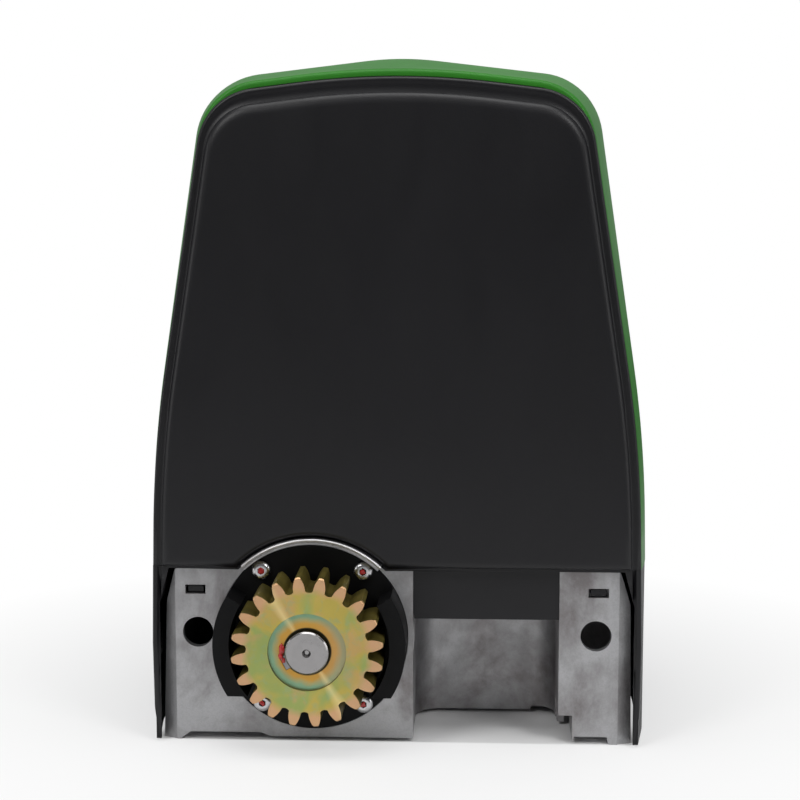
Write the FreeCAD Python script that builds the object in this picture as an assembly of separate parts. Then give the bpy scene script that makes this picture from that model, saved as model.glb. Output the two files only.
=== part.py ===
"""Sliding gate motor: a worm-geared drive on a cast base, with batteries,
controller and a two-part casing.

Frame, in millimetres: X to the right and Y away from the gate, as seen by
someone who stands on the gate's side and faces the pinion; Z up.  The origin
is the centre of the four foundation bolts, on the plane that the base rests on.
"""
import FreeCAD, Part
import math
import os

os.makedirs("parts", exist_ok=True)
V = FreeCAD.Vector

# ---------------------------------------------------------------- clearances
RUN = 0.05            # radial running clearance of a shaft in its hole
GAP = 0.3             # gap between pieces of different bodies
FIT = 0.1             # gap round a piece dropped in its seat

# ------------------------------------------------------- base and foundation
BOLT_X = 117.6        # half the foundation bolt spacing, side to side
BOLT_Y = 66.0         # half the foundation bolt spacing, gate side to front
BOLT_HOLE_R = 5.5     # clearance hole for an M10 stud
LUG_TOP = 16.0        # upper face of the foundation lugs
WALL = 5.0            # cast wall
DECK_Z = 104.0        # top of the cast base
BASE_W = 139.3        # half width of the base at its feet
PLATE_Y = -85.0       # machined face on the gate's side
BASE_FRONT_Y = 85.0
BLOCK_BOTTOM = 2.4    # underside of the gear block
SKIRT_BOTTOM = 4.7    # underside of the plates beside it
FOOT_L = 10.0         # width of the left foot
FOOT_R = 13.5         # width of the right foot
SIDE_HOLE_R = 9.1     # round hole in each plate
SIDE_HOLE_Z = 65.7
SLOT_X = 118.9        # middle of the slot for each casing tab
SLOT_Z = 91.5
SLOT_W = 12.0
SLOT_H = 5.5
BAY_X0 = 10.0         # open bay beside the gear block
BAY_X1 = 96.0
BAY_DEPTH = 60.0
BAY_R = 17.0
LIP_BEVEL = 4.0       # how far the slanted bands beside the plates fall back
BAND_STEP = 0.8       # small step where each band begins
NOTCH_W = 8.3         # notch beside the bay: width, height and depth
NOTCH_H = 17.5
NOTCH_D = 36.0
BAY_RELIEF = 5.5      # raised underside at the bay's far corner
BOLT_PAD = 10.0       # half width of the pad round each foundation hole

# --------------------------------------------------------------- output side
SHAFT_X = -49.2
SHAFT_Z = 64.0
PINION_TEETH = 20
PINION_MODULE = 4.0
PINION_WIDTH = 30.0
PINION_PHASE = 78.6   # angle of one tooth from +X towards +Z
PINION_END_Y = PLATE_Y - 37.2
SHAFT_R = 12.5
SHAFT_PROUD = 2.0     # shaft end past the pinion's face
COUNTERBORE_R = 22.5
COUNTERBORE_DEPTH = 2.5
KEY_ANGLE = 208.0
KEY_W = 8.0
KEY_PROUD = 3.3       # key height above the shaft
RING_R = 60.0         # outside of the collar round the pinion recess
RECESS_R = 56.5
RECESS_DEPTH = 8.0
COLLAR_LENGTH = 25.0
GUARD_R = 56.0
GUARD_DISC = 3.0
WING_WIDTH = 9.5
WING_LENGTH = 25.0
WING_HALF_ANGLE = 32.0
GUARD_SCREW_X = 30.0
GUARD_SCREW_Z = 40.0
SEAL_R = 20.0
SEAL_W = 7.0
BEARING_R = 26.0      # rear bearing, 25 x 52 x 15
BEARING_W = 15.0
FRONT_BEARING_R = 21.0    # front bearing, 20 x 42 x 12
FRONT_BEARING_W = 12.0
NOSE_R = 10.0         # shaft in the front bearing

# ----------------------------------------------------------------- worm drive
WORM_MODULE = 3.0
WHEEL_TEETH = 30
WORM_PITCH_R = 15.0
WHEEL_WIDTH = 26.0
DRIVE_Y = 5.0         # plane of the worm's axis and the wheel's middle
BACKLASH = 0.3
WORM_TURNS = 5
WORM_SHAFT_R = 6.0
CHAMBER_R = 49.5
WHEEL_BORE_R = 15.0
HUB_R = 24.0
COVER_PLATE = 6.0
DOGS = 6
DOG_DEPTH = 3.0
CLUTCH_TRAVEL = 4.0
CLUTCH_R = 22.0
CLUTCH_SHAFT_R = 12.0
SLEEVE_LENGTH = 10.0
ROD_R = 4.0
PIN_R = 2.5
THUMB_R = 24.0
THUMB_LENGTH = 20.0
BOSS_R = 14.0

# ---------------------------------------------------------------------- motor
MOTOR_R = 42.0
MOTOR_CAN_WALL = 3.5
MOTOR_FOOT_Z = 122.0
MOTOR_FLANGE = 6.0
MOTOR_CAN_LENGTH = 134.0
MOTOR_CAP_LENGTH = 12.0
MAGNET = 10.0
AIR_GAP = 0.9
ARMATURE_R = MOTOR_R - MOTOR_CAN_WALL - FIT - MAGNET - AIR_GAP
ARMATURE_LENGTH = 78.0
ARMATURE_SLOTS = 12
COMMUTATOR_R = 13.0

# -------------------------------------------------------- chassis and contents
TRAY_Z = 124.0        # underside of the battery deck
TRAY = 3.0
TRAY_W = 134.0
TRAY_Y0 = -78.0
TRAY_Y1 = 96.0
BATTERY_W = 65.0
BATTERY_L = 151.0
BATTERY_H = 94.0
BATTERY_X = 63.0      # inner side of each battery
BATTERY_Y0 = -70.0
BRACKET = 3.0
BRACKET_X1 = BATTERY_X - 2.7
BRACKET_X0 = -BRACKET_X1
BRACKET_Y0 = -40.0
BRACKET_Y1 = 60.0
SHELF_Z = 285.0
SHELF_X = 88.0
BOARD_X = 82.0
BOARD_Y0 = -46.0
BOARD_Y1 = 66.0
BOARD = 1.6
STANDOFF = 9.0
BUTTON_TRAVEL = 0.4
BUTTON_PITCH = 14.0

# --------------------------------------------------------------------- casing
SPLIT_Z = 106.0       # joint between the upper and lower casings
CASE_W = 143.0        # half width of the rear outline at the joint
KNEE_X = 141.5        # where the side begins to lean in
KNEE_Z = 175.0
KNEE_R = 700.0
LEAN = 0.1575         # lean of the sides
CASE_TOP = 390.0
ROOF_SLOPE = 0.0507   # fall of the rear outline's top to each side
CORNER_R = 25.0
APEX_R = 200.0
CASE_WALL = 3.0
RIM_Y = PLATE_Y - 6.0
RIM = 3.0
PANEL_PROUD = 4.0
PANEL_SIDE = 6.0      # inset of the raised panel from the outline
PANEL_TOP = 12.0
COVER_STEP = 4.4      # cover above the rear outline at the top
COVER_RISE = 13.1     # how far the top climbs to its crest
CREST_SLOPE = 0.114   # fall of the crest to each side
FLARE_SLOPE = 0.21    # how fast the sides open behind the rim
BELLY = 7.8           # how far they open in all
CREST_Y = 8.0         # where the roof is highest
FRONT_Y = 130.0
FRONT_R = 55.0        # plan radius of the two front corners
NOSE_LENGTH = 90.0    # length and drop of the rounded front edge
NOSE_DROP = 125.0
FLARE_Y = -52.0
APRON_BOTTOM = 75.0
APRON = 3.0
ARCH_R = 61.0
FRONT_WALL = 3.4
HOOD_EDGE_Y = RIM_Y + RIM + GAP
LIP_Y = HOOD_EDGE_Y + 2.0     # depth of the hood's thicker rear edge
FLARE = BELLY * math.tanh(FLARE_SLOPE * (FLARE_Y - HOOD_EDGE_Y) / BELLY)
HATCH_X0 = -92.0
HATCH_X1 = -6.0
HATCH_Z0 = 22.0
HATCH_AXIS_Z = 94.0
LOCK_Z = 38.0
LOCK_R = 9.0
TONGUE_LENGTH = 22.0


# -------------------------------------------------------------------- helpers
def save(name, shape):
    """Write one node, as one solid or a group of solids."""
    solids = shape.Solids
    result = solids[0] if len(solids) == 1 else Part.makeCompound(solids)
    result.exportStep("parts/" + name + ".step")
    print(name, len(solids), round(result.Volume))


def box(x0, x1, y0, y1, z0, z1):
    return Part.makeBox(x1 - x0, y1 - y0, z1 - z0, V(x0, y0, z0))


def cyl_x(r, y, z, x0, x1):
    return Part.makeCylinder(r, x1 - x0, V(x0, y, z), V(1, 0, 0))


def cyl_y(r, x, z, y0, y1):
    return Part.makeCylinder(r, y1 - y0, V(x, y0, z), V(0, 1, 0))


def cyl_z(r, x, y, z0, z1):
    return Part.makeCylinder(r, z1 - z0, V(x, y, z0), V(0, 0, 1))


def tube_y(r_out, r_in, x, z, y0, y1):
    return cyl_y(r_out, x, z, y0, y1).cut(cyl_y(r_in, x, z, y0 - 1, y1 + 1))


def tube_z(r_out, r_in, x, y, z0, z1):
    return cyl_z(r_out, x, y, z0, z1).cut(cyl_z(r_in, x, y, z0 - 1, z1 + 1))


def fuse(shapes):
    """Join overlapping solids into one and merge their coplanar faces."""
    return shapes[0].multiFuse(shapes[1:]).removeSplitter()


def on_xz(y):
    return lambda u, w: V(u, y, w)


def on_xy(z):
    return lambda u, w: V(u, w, z)


def rounded_loop(corners, place):
    """A closed wire through corners (u, w, radius), each rounded by a tangent arc."""
    count = len(corners)
    starts = []
    arcs = []
    for i in range(count):
        u, w, radius = corners[i]
        here = V(u, w, 0)
        if radius == 0:
            starts.append((here, here))
            arcs.append(None)
            continue
        before = corners[i - 1]
        after = corners[(i + 1) % count]
        back = (V(before[0], before[1], 0) - here).normalize()
        ahead = (V(after[0], after[1], 0) - here).normalize()
        half = back.getAngle(ahead) / 2
        run = radius / math.tan(half)
        middle = (back + ahead).normalize()
        crown = here + middle * (radius / math.sin(half) - radius)
        starts.append((here + back * run, here + ahead * run))
        arcs.append(crown)
    edges = []
    for i in range(count):
        first, last = starts[i]
        if arcs[i] is not None:
            three = [place(p.x, p.y) for p in (first, arcs[i], last)]
            edges.append(Part.Arc(*three).toShape())
        following = starts[(i + 1) % count][0]
        run_to = place(following.x, following.y)
        edges.append(Part.LineSegment(place(last.x, last.y), run_to).toShape())
    return Part.Wire(edges)


def prism(corners, place, travel):
    """Extrude a rounded loop; travel is the extrusion vector."""
    return Part.Face(rounded_loop(corners, place)).extrude(travel)


def turned(shape, angle):
    """A copy turned about the output shaft, from +X towards +Z."""
    copy = shape.copy()
    copy.rotate(V(SHAFT_X, 0, SHAFT_Z), V(0, -1, 0), angle)
    return copy


def mirrored(shape):
    return shape.mirror(V(0, 0, 0), V(1, 0, 0))


# ---------------------------------------------------------------------- gears
def involute(angle):
    return math.tan(angle) - angle


def gear_wire(teeth, module, phase, thin, y):
    """Outline of a 20 degree involute gear in the plane y, on the output axis."""
    pitch_r = module * teeth / 2
    tip_r = pitch_r + module
    root_r = pitch_r - 1.25 * module
    base_r = pitch_r * math.cos(math.radians(20))
    half = math.pi / (2 * teeth) - thin / pitch_r

    def flank(r):
        pressure = math.acos(min(1.0, base_r / r))
        return half + involute(math.radians(20)) - involute(pressure)

    def point(r, angle):
        return V(SHAFT_X + r * math.cos(angle), y, SHAFT_Z + r * math.sin(angle))

    foot_r = root_r + 0.2 * module
    foot = flank(max(base_r, foot_r)) + 0.06 * module / pitch_r
    step = 2 * math.pi / teeth
    edges = []
    for k in range(teeth):
        at = math.radians(phase) + k * step
        rise = [point(foot_r, at - foot), point(pitch_r, at - half), point(tip_r, at - flank(tip_r))]
        fall = [point(tip_r, at + flank(tip_r)), point(pitch_r, at + half), point(foot_r, at + foot)]
        root = [fall[2], point(root_r, at + step / 2), point(foot_r, at + step - foot)]
        edges.append(Part.Arc(*rise).toShape())
        edges.append(Part.LineSegment(rise[2], fall[0]).toShape())
        edges.append(Part.Arc(*fall).toShape())
        edges.append(Part.Arc(*root).toShape())
    return Part.Wire(edges)


def drive_pinion():
    """Spur pinion with a counterbored face, chamfered tips and a keyed bore."""
    y0 = PINION_END_Y
    y1 = y0 + PINION_WIDTH
    blank = Part.Face(gear_wire(PINION_TEETH, PINION_MODULE, PINION_PHASE, 0.1, y0))
    gear = blank.extrude(V(0, PINION_WIDTH, 0))
    tip = PINION_MODULE * (PINION_TEETH / 2 + 1)
    ease = 1.0
    turned_blank = Part.makeCone(tip - ease, tip, ease, V(SHAFT_X, y0, SHAFT_Z), V(0, 1, 0))
    turned_blank = turned_blank.fuse(cyl_y(tip + 1, SHAFT_X, SHAFT_Z, y0 + ease, y1))
    gear = gear.common(turned_blank)
    gear = gear.cut(cyl_y(COUNTERBORE_R, SHAFT_X, SHAFT_Z, y0 - 1, y0 + COUNTERBORE_DEPTH))
    gear = gear.cut(cyl_y(SHAFT_R + 0.02, SHAFT_X, SHAFT_Z, y0 - 1, y1 + 1))
    lead_in = y0 + COUNTERBORE_DEPTH
    bore_r = SHAFT_R + 0.02
    cone = Part.makeCone(bore_r + ease, bore_r, ease, V(SHAFT_X, lead_in, SHAFT_Z), V(0, 1, 0))
    return gear.cut(cone).cut(key_block(FIT, y0 - 1, y1 + 1))


def key_block(clear, y0, y1):
    """The key's box, standing out of the shaft at the key angle."""
    top = SHAFT_R + KEY_PROUD + clear
    half = KEY_W / 2 + clear
    block = box(SHAFT_X + SHAFT_R - 4 - clear, SHAFT_X + top, y0, y1, SHAFT_Z - half, SHAFT_Z + half)
    return turned(block, KEY_ANGLE)


def key_ends():
    return PINION_END_Y + COUNTERBORE_DEPTH, PINION_END_Y + PINION_WIDTH


# ------------------------------------------------------- places along the shaft
GUARD_Y = PLATE_Y - 1.0
SEAL_Y = PLATE_Y + RECESS_DEPTH + 1.0
REAR_BEARING_Y = SEAL_Y + SEAL_W + 1.0
WHEEL_Y0 = DRIVE_Y - WHEEL_WIDTH / 2
HUB_FRONT = DRIVE_Y + WHEEL_WIDTH / 2 + 4.0
SLEEVE_Y = HUB_FRONT
PIN_Y = SLEEVE_Y + SLEEVE_LENGTH / 2
FRONT_BEARING_Y = SLEEVE_Y + SLEEVE_LENGTH + CLUTCH_TRAVEL + 4.0
BLOCK_FRONT = FRONT_BEARING_Y + FRONT_BEARING_W + 4.0
SHAFT_END_Y = FRONT_BEARING_Y + FRONT_BEARING_W + 1.0
PLATE_FRONT = BLOCK_FRONT + COVER_PLATE
ROD_END = PLATE_FRONT + 4.0
THUMB_Y = PLATE_FRONT + 2.0
WORM_X = SHAFT_X + WORM_MODULE * WHEEL_TEETH / 2 + WORM_PITCH_R
WORM_LEAD = math.pi * WORM_MODULE
WORM_CAVITY_R = WORM_PITCH_R + WORM_MODULE + 2.0
LOWER_BEARING_Z = 10.0
UPPER_BEARING_Z = 106.0
CAN_Z0 = MOTOR_FOOT_Z + MOTOR_FLANGE
CAN_Z1 = CAN_Z0 + MOTOR_CAN_LENGTH
CAP_Z1 = CAN_Z1 + MOTOR_CAP_LENGTH
BLOCK_X0 = SHAFT_X - CHAMBER_R - WALL - 1.0
BLOCK_X1 = WORM_X + WORM_CAVITY_R + 2 * WALL


# ----------------------------------------------------------- gearbox housing
def base_outline():
    """Front profile of the cast base: two feet, stepped underside, sloped shoulders."""
    shoulder = 84.0
    return [
        (-BASE_W, 0, 0), (-BASE_W + FOOT_L, 0, 0), (-BASE_W + FOOT_L + 6.5, SKIRT_BOTTOM, 0),
        (-81, SKIRT_BOTTOM, 0), (-75, BLOCK_BOTTOM, 0), (BAY_X1 + 9, BLOCK_BOTTOM, 0),
        (BAY_X1 + 9.3, SKIRT_BOTTOM, 0), (BASE_W - FOOT_R - 1.2, SKIRT_BOTTOM, 0), (BASE_W - FOOT_R, 0, 0),
        (BASE_W, 0, 0), (BASE_W - 1.5, shoulder, 0), (BASE_W - 7.6, DECK_Z, 2),
        (-BASE_W + 8.3, DECK_Z, 2), (-BASE_W + 2.8, shoulder, 0),
    ]


def base_plan():
    """Plan of the cast base, with slanted rear corners and a notch for the hand wheel."""
    left = -BASE_W + 8.3
    right = BASE_W - 8.3
    return [
        (-BASE_W, PLATE_Y + LIP_BEVEL, 0), (left, PLATE_Y + BAND_STEP, 0), (left, PLATE_Y, 0),
        (right, PLATE_Y, 0), (right, PLATE_Y + BAND_STEP, 0),
        (BASE_W, PLATE_Y + LIP_BEVEL, 0), (BASE_W, BASE_FRONT_Y, 12), (BLOCK_X1, BASE_FRONT_Y, 6),
        (BLOCK_X1, BLOCK_FRONT, 4), (BLOCK_X0 - 2, BLOCK_FRONT, 4), (BLOCK_X0 - 2, BASE_FRONT_Y, 6),
        (-BASE_W, BASE_FRONT_Y, 12),
    ]


def pocket(x0, x1, y0, y1, z0, z1, r=4.0):
    return prism([(x0, y0, r), (x1, y0, r), (x1, y1, r), (x0, y1, r)], on_xy(z0), V(0, 0, z1 - z0))


def gearbox_housing():
    depth = BASE_FRONT_Y - PLATE_Y
    body = prism(base_outline(), on_xz(PLATE_Y), V(0, depth, 0))
    body = body.common(prism(base_plan(), on_xy(-1), V(0, 0, DECK_Z + 2)))
    under = -2.0
    roof = DECK_Z - WALL
    shoulder = roof - 17
    left0 = -BASE_W + FOOT_L
    right1 = BASE_W - FOOT_R
    side_wall = BASE_W - WALL - 2
    bay_y1 = PLATE_Y + BAY_DEPTH
    hollows = [
        pocket(left0, BLOCK_X0 - WALL, PLATE_Y + WALL, BASE_FRONT_Y - WALL, LUG_TOP, roof),
        pocket(-side_wall, left0 + WALL, PLATE_Y + 2 * WALL, BASE_FRONT_Y - 3 * WALL, LUG_TOP, shoulder, 2),
        pocket(BAY_X1 + WALL, right1, PLATE_Y + WALL, bay_y1 + WALL, LUG_TOP, roof),
        pocket(right1 - 2 * WALL, side_wall, PLATE_Y + 2 * WALL, bay_y1 + WALL, LUG_TOP, shoulder, 2),
        pocket(BLOCK_X1 + WALL, right1, bay_y1 + 2 * WALL, BASE_FRONT_Y - WALL, LUG_TOP, roof),
        pocket(left0, BLOCK_X0 - WALL, -BOLT_Y + 14, BOLT_Y - 14, under, LUG_TOP + 1),
        pocket(BAY_X1 + WALL, right1, -BOLT_Y + 14, bay_y1 + WALL, under, LUG_TOP + 1),
        pocket(BLOCK_X1 + WALL, BOLT_X - 14, bay_y1 + 2 * WALL, BASE_FRONT_Y - WALL, under, LUG_TOP + 1),
        pocket(BLOCK_X1 + WALL, right1, bay_y1 + 2 * WALL, BOLT_Y - 14, under, LUG_TOP + 1),
        pocket(CABLE[0], CABLE[1], CABLE[2], CABLE[3], roof - 1, DECK_Z + 1, 8.0),
    ]
    for hollow in hollows:
        body = body.cut(hollow)
    bay = pocket(BAY_X0, BAY_X1, PLATE_Y - 2 * BAY_R, bay_y1, under, DECK_Z + 1, BAY_R)
    body = body.cut(bay)
    body = body.cut(box(BAY_X1 - 1, BAY_X1 + NOTCH_W, PLATE_Y - 1, PLATE_Y + NOTCH_D, under, NOTCH_H))
    relief = [(BAY_X1 - BAY_R, under, 0), (BAY_X1 + 1, under, 0), (BAY_X1 + 1, BAY_RELIEF, 0),
              (BAY_X1 - BAY_R + 3.5, BAY_RELIEF, 0)]
    body = body.cut(prism(relief, on_xz(PLATE_Y + NOTCH_D - 1), V(0, BAY_DEPTH - NOTCH_D + WALL + 2, 0)))
    solids = [body]
    solids.append(cyl_y(RING_R, SHAFT_X, SHAFT_Z, PLATE_Y, PLATE_Y + COLLAR_LENGTH))
    solids.append(cyl_y(CHAMBER_R + WALL, SHAFT_X, SHAFT_Z, PLATE_Y + COLLAR_LENGTH - 1, BLOCK_FRONT))
    solids.append(cyl_z(WORM_CAVITY_R + 2 * WALL, WORM_X, DRIVE_Y, BLOCK_BOTTOM, MOTOR_FOOT_Z))
    body = fuse(solids)
    beyond = 2 * BASE_W
    keep = box(-beyond, beyond, PLATE_Y - 1, beyond, BLOCK_BOTTOM, beyond)
    left_foot = box(-beyond, BLOCK_X0 + 2 * WALL, PLATE_Y - 1, beyond, -1, BLOCK_BOTTOM + 1)
    right_foot = box(BAY_X1 + WALL, beyond, PLATE_Y - 1, beyond, -1, SKIRT_BOTTOM)
    body = body.common(keep.fuse([left_foot, right_foot]))
    for side in (-1, 1):
        for end in (-1, 1):
            x, y = side * BOLT_X, end * (BOLT_Y - WALL / 2)
            body = body.fuse(box(x - BOLT_PAD, x + BOLT_PAD, y - BOLT_PAD, y + BOLT_PAD, 0, SKIRT_BOTTOM + 1))
    body = body.removeSplitter()
    body = body.cut(cyl_y(RECESS_R, SHAFT_X, SHAFT_Z, PLATE_Y - 1, PLATE_Y + RECESS_DEPTH))
    body = body.cut(cyl_y(SEAL_R, SHAFT_X, SHAFT_Z, PLATE_Y, REAR_BEARING_Y))
    body = body.cut(cyl_y(BEARING_R, SHAFT_X, SHAFT_Z, REAR_BEARING_Y, REAR_BEARING_Y + BEARING_W))
    body = body.cut(cyl_y(20, SHAFT_X, SHAFT_Z, REAR_BEARING_Y, WHEEL_Y0))
    body = body.cut(cyl_y(CHAMBER_R, SHAFT_X, SHAFT_Z, WHEEL_Y0 - 4, BLOCK_FRONT + 1))
    body = body.cut(cyl_z(WORM_CAVITY_R, WORM_X, DRIVE_Y, LOWER_BEARING_Z + 12, UPPER_BEARING_Z - 4))
    body = body.cut(cyl_z(14, WORM_X, DRIVE_Y, LOWER_BEARING_Z, UPPER_BEARING_Z))
    body = body.cut(cyl_z(16, WORM_X, DRIVE_Y, UPPER_BEARING_Z, MOTOR_FOOT_Z + 1))
    for side in (-1, 1):
        behind = SIDE_HOLE_R + 1
        x0, x1 = side * BOLT_X - behind, side * BOLT_X + behind
        body = body.cut(box(x0, x1, PLATE_Y + WALL, PLATE_Y + 4 * WALL,
                            SIDE_HOLE_Z - behind, SIDE_HOLE_Z + behind))
        body = body.cut(cyl_y(SIDE_HOLE_R, side * BOLT_X, SIDE_HOLE_Z, PLATE_Y - 1, PLATE_Y + WALL + 1))
        sx = side * SLOT_X
        body = body.cut(box(sx - SLOT_W / 2, sx + SLOT_W / 2, PLATE_Y - 1, PLATE_Y + WALL + 1,
                            SLOT_Z - SLOT_H / 2, SLOT_Z + SLOT_H / 2))
        for end in (-1, 1):
            body = body.cut(cyl_z(BOLT_HOLE_R, side * BOLT_X, end * BOLT_Y, -1, LUG_TOP + 1))
            body = body.cut(cyl_z(12, side * BOLT_X, end * BOLT_Y, DECK_Z - WALL - 1, DECK_Z + 1))
        body = body.cut(box(sx - SLOT_W / 2, sx + SLOT_W / 2, PLATE_Y + WALL + 2, PLATE_Y + WALL + 7,
                            DECK_Z - WALL - 1, DECK_Z + 1))
    for x, y in casing_screw_places():
        body = body.cut(cyl_z(2.0 + RUN, x, y, DECK_Z - WALL, DECK_Z + 1))
    for x, y in tower_places():
        body = body.cut(cyl_z(2.0 + RUN, x, y, DECK_Z - WALL - 1, DECK_Z + 1))
    for x, z in guard_screw_places():
        body = body.cut(cyl_y(2.0 + RUN, x, z, PLATE_Y, PLATE_Y + 22))
    for x, z in cover_plate_screw_places():
        body = body.cut(cyl_y(2.0 + RUN, x, z, BLOCK_FRONT - 12, BLOCK_FRONT + 1))
    body = body.cut(cyl_z(6.0, *FILL_PLUG, DECK_Z - 14, DECK_Z + 40))
    return body


CABLE = (62.0, 98.0, 25.0, 76.0)      # cable way through the deck: x0, x1, y0, y1
FILL_PLUG = (BLOCK_X0 + 6.0, 30.0)


def guard_screw_places():
    return [(SHAFT_X + i * GUARD_SCREW_X, SHAFT_Z + j * GUARD_SCREW_Z)
            for i in (-1, 1) for j in (-1, 1)]


def cover_plate_screw_places():
    reach = CHAMBER_R + 2.6
    return [(SHAFT_X + reach * math.cos(math.radians(a)), SHAFT_Z + reach * math.sin(math.radians(a)))
            for a in range(0, 360, 60)]


def tower_places():
    """Chassis screws: they pass the tray's feet beside the outer walls."""
    return [(side * (BASE_W - 20), y) for side in (-1, 1) for y in (-44.0, 44.0)]


def gearcase_cover():
    """Front plate with the bearing seat inside and the hand wheel's boss outside."""
    plate = cyl_y(CHAMBER_R + WALL, SHAFT_X, SHAFT_Z, BLOCK_FRONT, PLATE_FRONT)
    register = cyl_y(CHAMBER_R - FIT, SHAFT_X, SHAFT_Z, FRONT_BEARING_Y, BLOCK_FRONT)
    seat_r = FRONT_BEARING_R + WALL
    thin = tube_y(CHAMBER_R - WALL, seat_r, SHAFT_X, SHAFT_Z, FRONT_BEARING_Y - 1, BLOCK_FRONT)
    body = plate.fuse(register.cut(thin))
    body = body.fuse(cyl_y(BOSS_R, SHAFT_X, SHAFT_Z, PLATE_FRONT, THUMB_Y + THUMB_LENGTH - 6))
    ribs = []
    for a in range(30, 390, 60):
        rib = box(SHAFT_X + BOSS_R + 8, SHAFT_X + CHAMBER_R - 6, PLATE_FRONT - 1, PLATE_FRONT + 1.6,
                  SHAFT_Z - 1.5, SHAFT_Z + 1.5)
        ribs.append(turned(rib, a))
    body = fuse([body] + ribs)
    body = body.cut(cyl_y(FRONT_BEARING_R, SHAFT_X, SHAFT_Z, FRONT_BEARING_Y - 1, SHAFT_END_Y + 0.5))
    body = body.cut(cyl_y(BOSS_R - WALL, SHAFT_X, SHAFT_Z, PLATE_FRONT, 200))
    body = body.cut(cyl_y(ROD_R + 0.5, SHAFT_X, SHAFT_Z, SHAFT_END_Y, 200))
    for x, z in cover_plate_screw_places():
        body = body.cut(cyl_y(2.6, x, z, BLOCK_FRONT - 1, PLATE_FRONT + 1))
    return body.removeSplitter()


def pan_screw(x, y, z, head_r, head_h, shank_r, shank, drive_r):
    """A socket button screw along Y; the head stands towards -Y from y."""
    crown = head_h * 0.55
    head = cyl_y(head_r, x, z, y - head_h + crown, y)
    head = head.fuse(Part.makeCone(head_r - crown, head_r, crown, V(x, y - head_h, z), V(0, 1, 0)))
    socket = cyl_y(drive_r, x, z, y - head_h - 1, y - head_h * 0.4)
    head = head.cut(socket)
    return head.fuse(cyl_y(shank_r, x, z, y, y + shank))


def flipped(shape, y):
    """Turn a piece that points to -Y so that it points to +Y."""
    return shape.mirror(V(0, y, 0), V(0, 1, 0))


def downward_screw(x, y, z, head_r, head_h, shank_r, shank):
    """A pan screw along Z; its head stands up from z."""
    crown = head_h * 0.5
    head = cyl_z(head_r, x, y, z, z + head_h - crown)
    head = head.fuse(Part.makeCone(head_r, head_r - crown, crown, V(x, y, z + head_h - crown), V(0, 0, 1)))
    head = head.cut(box(x - head_r, x + head_r, y - 0.5, y + 0.5, z + head_h * 0.5, z + head_h + 1))
    return head.fuse(cyl_z(shank_r, x, y, z - shank, z))


# ----------------------------------------------------------------- the guard
def wing(side):
    """One crescent wing of the guard, beside the pinion."""
    y0 = GUARD_Y - WING_LENGTH
    y1 = GUARD_Y + 1
    ring = cyl_y(GUARD_R, SHAFT_X, SHAFT_Z, y0, y1)
    hollow = cyl_y(GUARD_R - WING_WIDTH, SHAFT_X, SHAFT_Z, y0 - 1, y1 + 1)
    reach = GUARD_R + 10
    rise = reach * math.sin(math.radians(WING_HALF_ANGLE))
    out = reach * math.cos(math.radians(WING_HALF_ANGLE))
    lip = GUARD_R * math.sin(math.radians(WING_HALF_ANGLE))
    sector = [
        (SHAFT_X, SHAFT_Z, 0), (SHAFT_X + side * out, SHAFT_Z + rise, 0),
        (SHAFT_X + side * reach, SHAFT_Z, 0), (SHAFT_X + side * reach, SHAFT_Z - lip, 0),
        (SHAFT_X + side * out * 0.6, SHAFT_Z - lip, 0),
    ]
    return ring.cut(hollow).common(prism(sector, on_xz(y0 - 1), V(0, y1 - y0 + 2, 0)))


def pinion_guard():
    """Moulded disc behind the pinion with two wings beside it."""
    disc = cyl_y(GUARD_R, SHAFT_X, SHAFT_Z, GUARD_Y, GUARD_Y + GUARD_DISC)
    spacer = tube_y(GUARD_R, GUARD_R - 3, SHAFT_X, SHAFT_Z, GUARD_Y, PLATE_Y + RECESS_DEPTH)
    posts = [cyl_y(5, x, z, GUARD_Y, PLATE_Y + RECESS_DEPTH) for x, z in guard_screw_places()]
    body = fuse([disc, spacer, wing(-1), wing(1)] + posts)
    body = body.cut(cyl_y(SHAFT_R + 4, SHAFT_X, SHAFT_Z, GUARD_Y - 1, GUARD_Y + GUARD_DISC + 1))
    for x, z in guard_screw_places():
        body = body.cut(cyl_y(2.6, x, z, GUARD_Y - 1, PLATE_Y + RECESS_DEPTH + 1))
    return body


# ------------------------------------------------------------- rotating parts
def bearing_y(r_out, r_in, y, width):
    """Outer ring, inner ring and shields of a ball bearing on the output axis."""
    ring = tube_y(r_out, r_out - 3.2, SHAFT_X, SHAFT_Z, y, y + width)
    core = tube_y(r_in + 3.0, r_in, SHAFT_X, SHAFT_Z, y, y + width)
    shield = tube_y(r_out - 3.2, r_in + 3.0, SHAFT_X, SHAFT_Z, y + 0.8, y + width - 0.8)
    return fuse([ring, core, shield])


def bearing_z(r_out, r_in, z, width):
    ring = tube_z(r_out, r_out - 2.2, WORM_X, DRIVE_Y, z, z + width)
    core = tube_z(r_in + 2.0, r_in, WORM_X, DRIVE_Y, z, z + width)
    shield = tube_z(r_out - 2.2, r_in + 2.0, WORM_X, DRIVE_Y, z + 0.6, z + width - 0.6)
    return fuse([ring, core, shield])


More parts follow.
